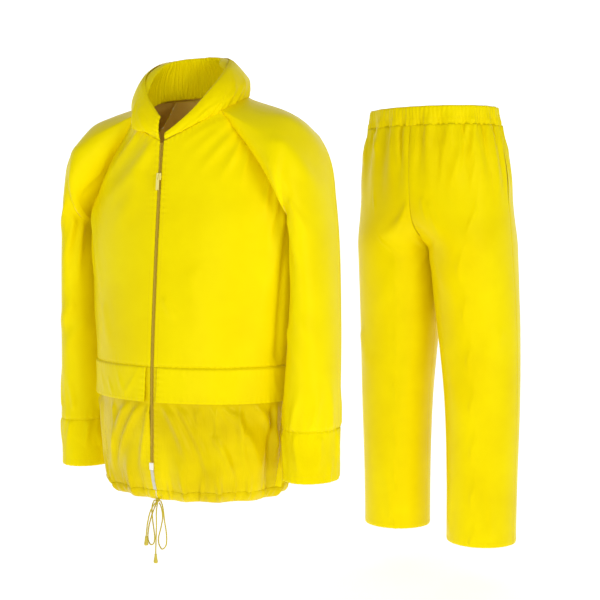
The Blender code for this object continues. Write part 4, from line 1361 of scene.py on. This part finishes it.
def bow_knot():
    """Cord on a closed curve that runs twice round and three times in and out, pulled tight."""
    away = KNOT_RADIUS + KNOT_SWING * np.cos(3 * KNOT_TURNS)
    deep = 0.9 * KNOT_SWING * np.sin(3 * KNOT_TURNS)
    curve = [away * np.cos(2 * KNOT_TURNS), deep, 0.8 * away * np.sin(2 * KNOT_TURNS)]
    path = placed(np.stack(curve, axis=-1), (JACKET[0], KNOT))
    made = round_curve("bow_knot", path, "cord_knot", 2, closed=True)
    made.data.materials.append(CORD_FINISH)
    print("knot points:", len(path))


bow_knot()

# %% [markdown]
# ## The trousers
#
# Each leg is a tube from hip to hem, cut as a front and a back panel. Above the crotch a panel is a
# quarter of the hips; below it the section closes into a leg. The angle "closing" runs from 90 to
# 180 degrees, and opens one half of an ellipse into a whole one. The waistband's elastic draws the
# cloth in, so folds start at the band and die out over the hips.

# %% Legs
TROUSERS = (radians(34), (0.547, 0.550, 0.034))
BAND_HEIGHT = 0.042
LEG_HEM_Z = -1.028
SLIT_LOW = -0.245
SLIT_TOP = -0.085
SLIT_OPEN = 0.008
SEAM_OVERLAP = 0.0008
WAIST_GATHERS = 20
WAIST_GATHER_DEPTH = 0.005
STRIDES = {"left": -0.022, "right": 0.028}
LEG_GIRTH = 0.60

LEG = table(
    "z inner outer front back middle closing",
    (-1.028, 0.046, 0.210, 0.080, 0.080, 0.000, 180),
    (-0.880, 0.044, 0.211, 0.082, 0.083, 0.000, 180),
    (-0.700, 0.034, 0.212, 0.087, 0.089, 0.000, 180),
    (-0.540, 0.015, 0.208, 0.097, 0.099, -0.002, 180),
    (-0.440, 0.004, 0.203, 0.107, 0.111, -0.007, 180),
    (-0.370, 0.001, 0.199, 0.115, 0.122, -0.012, 180),
    (-0.330, 0.0006, 0.197, 0.120, 0.128, -0.015, 174),
    (-0.308, 0.0004, 0.196, 0.123, 0.132, -0.017, 148),
    (-0.270, 0.0004, 0.194, 0.127, 0.136, -0.020, 115),
    (-0.220, 0.0004, 0.191, 0.130, 0.138, -0.023, 97),
    (-0.160, 0.0004, 0.188, 0.130, 0.138, -0.027, 90),
    (-0.090, 0.0004, 0.175, 0.123, 0.127, -0.032, 90),
    (-0.042, 0.0004, 0.163, 0.114, 0.116, -0.035, 90),
    (0.000, 0.0004, 0.158, 0.112, 0.114, -0.036, 90),
)


def waist_wave(turn):
    """Height of the gathers that the elastic makes round one leg's part of the waist. They are a
    cosine whose spacing drifts, flat at the centre seams."""
    wave = np.cos(WAIST_GATHERS * pi * (turn - 0.5) + 0.9 * np.sin(4 * pi * turn))
    return WAIST_GATHER_DEPTH * wave * fade(np.abs(turn - 0.5), 0.5, 0.47)


def leg_surface(turn, z, stride):
    """Inner face of a left leg: turn is 0 at the inseam, 0.5 at the side seam by the front, and 1
    back at the inseam. The section is an ellipse about its middle, opened by the closing angle."""
    front = turn < 0.5
    closing = np.radians(np.clip(smooth(z, LEG["z"], LEG["closing"]), 90, 180))
    facing_other_leg = np.clip(-np.cos(closing), 0, 1)
    inner = smooth(z, LEG["z"], LEG["inner"]) + CLOTH * facing_other_leg
    outer = smooth(z, LEG["z"], LEG["outer"])
    half = (outer - inner) / (1 - np.cos(closing))
    depth = np.where(front, smooth(z, LEG["z"], LEG["front"]), smooth(z, LEG["z"], LEG["back"]))
    round_leg = closing * (1 - 2 * np.where(front, turn, 1 - turn))
    gather = waist_wave(turn) * fade(z, -0.26, -0.045)
    x = inner + half * (np.cos(round_leg) - np.cos(closing)) + gather * np.cos(round_leg)
    y = np.where(front, -1, 1) * (depth + gather) * np.sin(round_leg)
    y = y + smooth(z, LEG["z"], LEG["middle"]) + stride * fade(z, -0.30, LEG_HEM_Z)
    return np.stack([x, y, z + 0 * turn], axis=-1)


# %% Folds of the legs: turn round the leg from the inseam by the front, and height
LEFT_LEG_FOLDS = fold_table(
    LEG_GIRTH,
    (0.035, -46, 0.03, -147, 7, 2.6, 2),
    (0.085, -46, 0.08, -102, 6, 2.2, 1),
    (0.14, -46, 0.125, -138, 7, 2.6, -3),
    (0.185, -46, 0.125, -219, 8, 3.0, 5),
    (0.24, -46, 0.165, -195, 8, 3.0, -5),
    (0.28, -46, 0.20, -162, 7, 2.4, 4),
    (0.31, -46, 0.255, -150, 7, 2.6, -3),
    (0.355, -46, 0.345, -105, 6, 2.0, 1),
    (0.40, -46, 0.38, -153, 7, 2.6, 3),
    (0.475, -46, 0.42, -138, 7, 2.4, -3),
    (0.06, -216, 0.095, -276, 8, 2.2, 4),
    (0.085, -228, 0.165, -297, 9, 2.4, 6),
    (0.02, -300, 0.10, -392, 10, 2.6, -6),
    (0.13, -330, 0.30, -470, 22, 2.0, 10),
    (0.40, -520, 0.28, -640, 24, 2.2, -8),
    (0.16, -560, 0.24, -760, 24, 2.0, 8),
    (0.36, -1000, 0.32, -860, 16, 1.8, 5),
    (0.14, -1000, 0.18, -840, 16, 1.8, -5),
    (0.54, -46, 0.56, -142, 7, 2.4, 3),
    (0.60, -46, 0.64, -170, 8, 2.8, -4),
    (0.67, -46, 0.70, -130, 7, 2.4, 3),
    (0.74, -46, 0.78, -190, 8, 2.8, -5),
    (0.82, -46, 0.83, -120, 7, 2.4, 2),
    (0.90, -46, 0.93, -160, 7, 2.6, -3),
    (0.97, -236, 0.86, -330, 12, 3.4, -8),
    (0.95, -290, 0.80, -420, 13, 3.2, -8),
    (0.62, -520, 0.74, -650, 22, 2.4, 8),
    (0.84, -600, 0.70, -760, 22, 2.2, -8),
    (0.66, -1000, 0.70, -840, 16, 2.0, 5),
    (0.86, -1000, 0.82, -880, 14, 1.8, -4),
)
RIGHT_LEG_FOLDS = fold_table(
    LEG_GIRTH,
    (0.26, -46, 0.15, -117, 7, 2.6, 4),
    (0.075, -46, 0.035, -156, 7, 2.8, -3),
    (0.03, -46, 0.005, -123, 6, 2.4, 2),
    (0.35, -46, 0.29, -140, 7, 2.4, 3),
    (0.44, -46, 0.40, -128, 7, 2.4, -3),
    (0.01, -228, 0.095, -285, 9, 2.8, 5),
    (0.035, -258, 0.19, -309, 10, 2.8, 6),
    (0.02, -310, 0.11, -400, 10, 2.4, -5),
    (0.16, -360, 0.30, -490, 22, 2.0, 9),
    (0.38, -540, 0.26, -660, 24, 2.2, -8),
    (0.12, -600, 0.20, -790, 24, 2.0, 8),
    (0.20, -1000, 0.23, -850, 16, 1.8, -5),
    (0.55, -46, 0.58, -150, 7, 2.6, -3),
    (0.63, -46, 0.65, -124, 7, 2.4, 2),
    (0.70, -46, 0.75, -182, 8, 2.8, -4),
    (0.80, -46, 0.81, -132, 7, 2.4, 2),
    (0.88, -46, 0.92, -176, 7, 2.6, -4),
    (0.97, -240, 0.85, -322, 12, 3.4, -8),
    (0.94, -300, 0.79, -440, 13, 3.2, -8),
    (0.64, -540, 0.76, -690, 22, 2.4, 8),
    (0.68, -1000, 0.71, -860, 16, 2.0, 5),
)
LEG_FOLDS = {"left": LEFT_LEG_FOLDS, "right": RIGHT_LEG_FOLDS}


CREASES = 27
CREASE_DEPTH = 0.0030


def waist_creases(turn, z, seed):
    """Narrow creases that hang from the elastic: ridges (1 - |sin|)^1.6 round the leg, each fading
    out at its own depth and all leaning a little towards the crotch."""
    phase = pi * CREASES * (turn - 0.35 * (z + BAND_HEIGHT) * np.sin(2 * pi * turn))
    phase = phase + 2.2 * np.sin(9 * turn + seed)
    phase = phase + 0.9 * np.sin(31 * turn + 2 * seed)
    ridge = (1 - np.abs(np.sin(phase))) ** 1.6
    reach = 0.075 + 0.050 * np.sin(13 * turn + seed) + 0.030 * np.sin(29 * turn + 3 * seed)
    return CREASE_DEPTH * ridge * (1 - fade(-BAND_HEIGHT - z, 0.25 * reach, reach))


def leg_panels():
    """The front and back panel of each leg. The front one's edge gapes at the pocket slit."""
    z = np.concatenate([[LEG_HEM_Z], np.linspace(LEG_HEM_Z + 0.004, -BAND_HEIGHT, 176)])[:, None]
    slit = SLIT_OPEN * np.sin(pi * np.clip((z - SLIT_LOW) / (SLIT_TOP - SLIT_LOW), 0, 1))
    for side, stride in STRIDES.items():

        def surface(u, v):
            return leg_surface(u, v, stride)

        halves = (("front", -SEAM_OVERLAP, 0.5 - slit), ("back", 0.5, 1 + SEAM_OVERLAP))
        for half, start, end in halves:
            turn, height = np.broadcast_arrays(start + (end - start) * spread(66)[None, :], z)
            plain = surface(turn, height)
            relief = folds(LEG_FOLDS[side], turn * LEG_GIRTH, height)
            relief = relief * fade(height, LEG_HEM_Z, LEG_HEM_Z + 0.03)
            relief = relief + waist_creases(turn, height, 1 if side == "left" else 2)
            out = CLOTH + relief * fade(np.abs(turn * 2 - 1), 1.0, 0.97)
            out = out + seam_relief(plain, roll=0.0006, pucker=0.0005, spacing=0.013)
            shown = raised(surface, turn, height, out)
            if side == "right":
                plain, shown = mirrored(plain, shown)
            sheet(f"leg_{half}_{side}", plain, shown, TROUSERS)


leg_panels()

# %% Waistband
RIBS = 100
RIB_DEPTH = 0.0016
BAND_STITCH_Z = -0.028


def waistband():
    """The elasticated casing. Its ribs are a cosine round the waist whose spacing drifts, and the
    stitch line that closes the casing draws them in."""
    angle = np.linspace(0, 2 * pi, RIBS * 7 + 1)[None, :-1]
    z = np.linspace(-BAND_HEIGHT - 0.002, 0, 18)[:, None]
    angle, z = np.broadcast_arrays(angle, z)
    width, depth = smooth(z, LEG["z"], LEG["outer"]), smooth(z, LEG["z"], LEG["front"])
    y = smooth(z, LEG["z"], LEG["middle"]) - depth * np.cos(angle)
    plain = np.stack([width * np.sin(angle), y, z], axis=-1)
    drift = 1.6 * np.sin(7 * angle) + 1.1 * np.sin(19 * angle + 3 * z / BAND_HEIGHT)
    rib = 0.5 + 0.5 * np.cos(RIBS * angle + drift)
    strength = 0.75 + 0.25 * np.sin(5 * angle + 1)
    drawn = 1 - 0.7 * np.exp(-(((z - BAND_STITCH_Z) / 0.0022) ** 2)) - 0.5 * fade(z, -0.006, 0)
    turn = np.where(angle < pi, angle, 2 * pi - angle) / pi
    gather = waist_wave(turn) * (1 - 0.75 * fade(z, -BAND_HEIGHT, -0.012))
    layers = CLOTH * (1.1 + 0.9 * fade(z, -BAND_HEIGHT, -0.030))
    height = layers + RIB_DEPTH * rib * strength * drawn - 0.0008 * fade(z, -0.003, 0)
    shown = plain + grid_normals(plain) * (height + gather)[..., None]
    sheet("waistband", shown, shown, TROUSERS, closed=True)


waistband()

# %% [markdown]
# ## Stitches
#
# Every seam shows a row of thread. A row follows an edge of a panel at a fixed distance, so it is
# found on the creased sheet itself: up each column of the sheet, the point at that distance. One
# stitch is a long eight-sided grain, repeated along the row. The prick of the needle draws the
# cloth in, so each stitch lies half sunk in it.

# %% Rows of thread along the edges of panels
STITCH_PITCH = 0.0034
STITCH = np.array([0.0012, 0.00032, 0.00026])
THREAD_LIFT = 0.0001
GRAIN = np.array([(1, 0, 0), (-1, 0, 0), (0, 1, 0), (0, -1, 0), (0, 0, 1), (0, 0, -1)])
GRAIN_FACES = np.array(
    [(0, 2, 4), (2, 1, 4), (1, 3, 4), (3, 0, 4), (2, 0, 5), (1, 2, 5), (3, 1, 5), (0, 3, 5)]
)


def edge_row(node_name, edge, inset, span=(0.0, 1.0)):
    """Points and outward normals along a line at a fixed distance from one edge of a panel."""
    grid, closed = GRIDS[node_name]
    if closed:
        grid = np.concatenate([grid, grid[:, :1]], axis=1)
    normals = unit(np.cross(np.gradient(grid, axis=1), np.gradient(grid, axis=0)))
    if edge in ("start", "end"):
        grid, normals = grid.transpose(1, 0, 2), normals.transpose(1, 0, 2)
    if edge in ("high", "end"):
        grid, normals = grid[::-1], normals[::-1]
    first, last = (int(round(share * (grid.shape[1] - 1))) for share in span)
    grid, normals = grid[:, first : last + 1], normals[:, first : last + 1]
    away = lengths_along(grid, 0)
    row = (away < inset).sum(axis=0) - 1
    row = np.clip(row, 0, len(grid) - 2)
    column = np.arange(grid.shape[1])
    step = away[row + 1, column] - away[row, column]
    t = ((inset - away[row, column]) / np.maximum(step, 1e-9)).clip(0, 1)[:, None]
    points = grid[row, column] * (1 - t) + grid[row + 1, column] * t
    return points, normals[row, column] * (1 - t) + normals[row + 1, column] * t


def thread_row(points, normals):
    """Stitches at even spacing along a row: each grain's long axis follows the row."""
    run = lengths_along(points[None], 1)[0]
    places = np.arange(STITCH_PITCH / 2, run[-1], STITCH_PITCH)
    at, before, after = (
        np.stack([np.interp(places + step, run, column) for column in points.T], axis=-1)
        for step in (0, -0.001, 0.001)
    )
    out = np.stack([np.interp(places, run, column) for column in normals.T], axis=-1)
    along = unit(after - before)
    aside = unit(np.cross(out, along))
    out = np.cross(along, aside)
    axes = np.stack([along, aside, out], axis=1)
    corners = at[:, None] + out[:, None] * THREAD_LIFT + (GRAIN * STITCH) @ axes
    faces = GRAIN_FACES[None] + (np.arange(len(at)) * 6)[:, None, None]
    return corners.reshape(-1, 3), faces.reshape(-1, 3)


def stitches(name, rows):
    """One thread object for a garment part; each row is (panel, edge, distance from it, span)."""
    made_of = [thread_row(*edge_row(*row)) for row in rows]
    points, faces = joined(made_of)
    made = add_mesh(name, points, faces, [THREAD])
    print(f"{name}: {len(faces) // 8} stitches")


# Distances of the rows from the edges that they follow
SEAM_ROW = 0.0030
POCKET_ROW, SKIRT_ROW, ZIP_ROW = 0.0035, 0.0045, 0.0090
CUFF_HEM_ROW, CUFF_ROW, FLAP_ROW, FLAP_SEAM_ROW = 0.0140, 0.0040, 0.0050, 0.0040
COLLAR_TOP_ROW, COLLAR_ROW, TUNNEL_ROW = 0.0060, 0.0055, 0.0025
LEG_HEM_ROW = 0.0100
CENTRE_EDGE = {"left": "start", "right": "end"}
RAGLAN_EDGE = {"left": "end", "right": "start"}
stitches(
    "jacket_body_stitches",
    [("front_upper_" + side, "low", POCKET_ROW) for side in SIDES]
    + [("front_lower_" + side, "high", SKIRT_ROW) for side in SIDES]
    + [("front_upper_" + side, RAGLAN_EDGE[side], SEAM_ROW, (0.55, 1.0)) for side in SIDES]
    + [("front_upper_" + side, CENTRE_EDGE[side], ZIP_ROW) for side in SIDES]
    + [("front_lower_" + side, CENTRE_EDGE[side], ZIP_ROW) for side in SIDES]
    + [("back", edge, SEAM_ROW) for edge in ("start", "end", "high")],
)
stitches(
    "jacket_trim_stitches",
    [("cuff_" + side, "low", CUFF_HEM_ROW) for side in SIDES]
    + [("cuff_" + side, "high", CUFF_ROW) for side in SIDES]
    + [("sleeve_" + side, "low", SEAM_ROW) for side in SIDES]
    + [("flap_" + side, edge, FLAP_ROW) for side in SIDES for edge in ("low", "start", "end")]
    + [("flap_" + side, "high", FLAP_SEAM_ROW) for side in SIDES]
    + [("collar", "high", COLLAR_TOP_ROW), ("collar", "low", COLLAR_ROW)]
    + [("hem_tunnel", "high", TUNNEL_ROW)],
)
POCKET_STITCH_LIFT = 0.0002
POCKET_STITCH = table(
    "turn z",
    (0.375, -0.150),
    (0.376, -0.190),
    (0.379, -0.222),
    (0.388, -0.234),
    (0.404, -0.238),
    (0.418, -0.232),
    (0.426, -0.218),
    (0.440, -0.190),
    (0.456, -0.158),
)


def pocket_stitches():
    """Each side pocket's bag is sewn through to the front: a row down, round its end and up."""
    places = np.linspace(0, 1, 60)
    share = np.linspace(0, 1, len(POCKET_STITCH["z"]))
    turn, height = (smooth(places, share, POCKET_STITCH[name]) for name in ("turn", "z"))
    rows = []
    for side, stride in STRIDES.items():

        def surface(u, v):
            return leg_surface(u, v, stride)

        relief = folds(LEG_FOLDS[side], turn * LEG_GIRTH, height)
        normals = normals_of(surface, turn, height)
        points = surface(turn, height) + normals * (CLOTH + relief + POCKET_STITCH_LIFT)[:, None]
        if side == "right":
            points, normals = points * MIRROR, normals * MIRROR
        normals = placed(normals, (TROUSERS[0], (0, 0, 0)))
        rows.append(thread_row(placed(points, TROUSERS), normals))
    points, faces = joined(rows)
    made = add_mesh("pocket_stitches", points, faces, [THREAD])
    print("pocket stitches:", len(faces) // 8)


pocket_stitches()
stitches(
    "trousers_stitches",
    [("leg_front_" + side, "low", LEG_HEM_ROW) for side in SIDES]
    + [("leg_back_" + side, "low", LEG_HEM_ROW) for side in SIDES]
    + [("leg_back_" + side, CENTRE_EDGE[side], SEAM_ROW) for side in SIDES]
    + [("waistband", "high", -BAND_STITCH_Z)],
)

# %% [markdown]
# ## Floor, light and the last lines
#
# The photograph is a cut-out on white, so the floor is a pale sheet that curves up behind the suit
# and has no edge to see. The light is soft and comes from nearly everywhere. A large lamp to the
# right of the camera gives the folds their lit and shaded sides, and a weaker one to the left fills
# in the shades.

# %% Floor and lamps
FLOOR_Z = -1.10
FLOOR_HALF_WIDTH, FLOOR_NEAR, WALL_TOP = 7.0, -5.0, 5.0
BEND_START, BEND = 2.2, 1.6
FLOOR_GLOW = 0.55
WHITE = (1, 1, 1, 1)
SKY_LIGHT = 0.36
bpy.context.scene.view_settings.view_transform = "Standard"


def backdrop():
    """A sheet that runs back along the floor, turns up in a quarter circle, and ends upright."""
    turn = np.linspace(0, pi / 2, 14)
    y = np.concatenate([[FLOOR_NEAR], BEND_START + BEND * np.sin(turn), [BEND_START + BEND]])
    z = FLOOR_Z + np.concatenate([[0.0], BEND * (1 - np.cos(turn)), [WALL_TOP]])
    x = np.array([-FLOOR_HALF_WIDTH, FLOOR_HALF_WIDTH])
    points = np.stack(np.broadcast_arrays(x, y[:, None], z[:, None]), axis=-1)
    mesh = bpy.data.meshes.new("floor")
    mesh.from_pydata(points.reshape(-1, 3).tolist(), [], grid_faces(len(y), 2).tolist())
    mesh.shade_smooth()
    values = {"Base Color": (0.95, 0.95, 0.95, 1), "Roughness": 0.9, "Specular IOR Level": 0.0}
    values |= {"Emission Color": WHITE, "Emission Strength": FLOOR_GLOW}
    mesh.materials.append(shaded("pale_floor", values)[0])
    made = bpy.data.objects.new("floor", mesh)
    bpy.context.scene.collection.objects.link(made)


def lamp(name, place, aim, size, power):
    """A square area lamp at a place, turned to face a point."""
    data = bpy.data.lights.new(name, "AREA")
    data.size, data.energy = size, power
    made = bpy.data.objects.new(name, data)
    bpy.context.scene.collection.objects.link(made)
    made.location = place
    toward = np.array(aim) - np.array(place)
    level = float(np.hypot(toward[0], toward[1]))
    made.rotation_euler = (atan(float(toward[2]) / level) + pi / 2, 0, atan2(-toward[0], toward[1]))


backdrop()
lamp("key", (2.3, -3.3, 0.3), (0.2, 0.1, -0.4), 1.3, 42)
lamp("front", (-1.3, -3.6, -0.3), (0.25, 0.1, -0.3), 1.2, 25)
sky = bpy.data.worlds.new("studio")
bpy.context.scene.world = sky
sky.use_nodes = True
background = sky.node_tree.nodes["Background"]
background.inputs["Color"].default_value = WHITE
seen = node(sky.node_tree, "ShaderNodeLightPath")
strength = node(sky.node_tree, "ShaderNodeMapRange", to_min=SKY_LIGHT, to_max=1.0)
links(
    sky.node_tree,
    (seen, "Is Camera Ray", strength, "Value"),
    (strength, "Result", background, "Strength"),
)
print("floor at", FLOOR_Z)
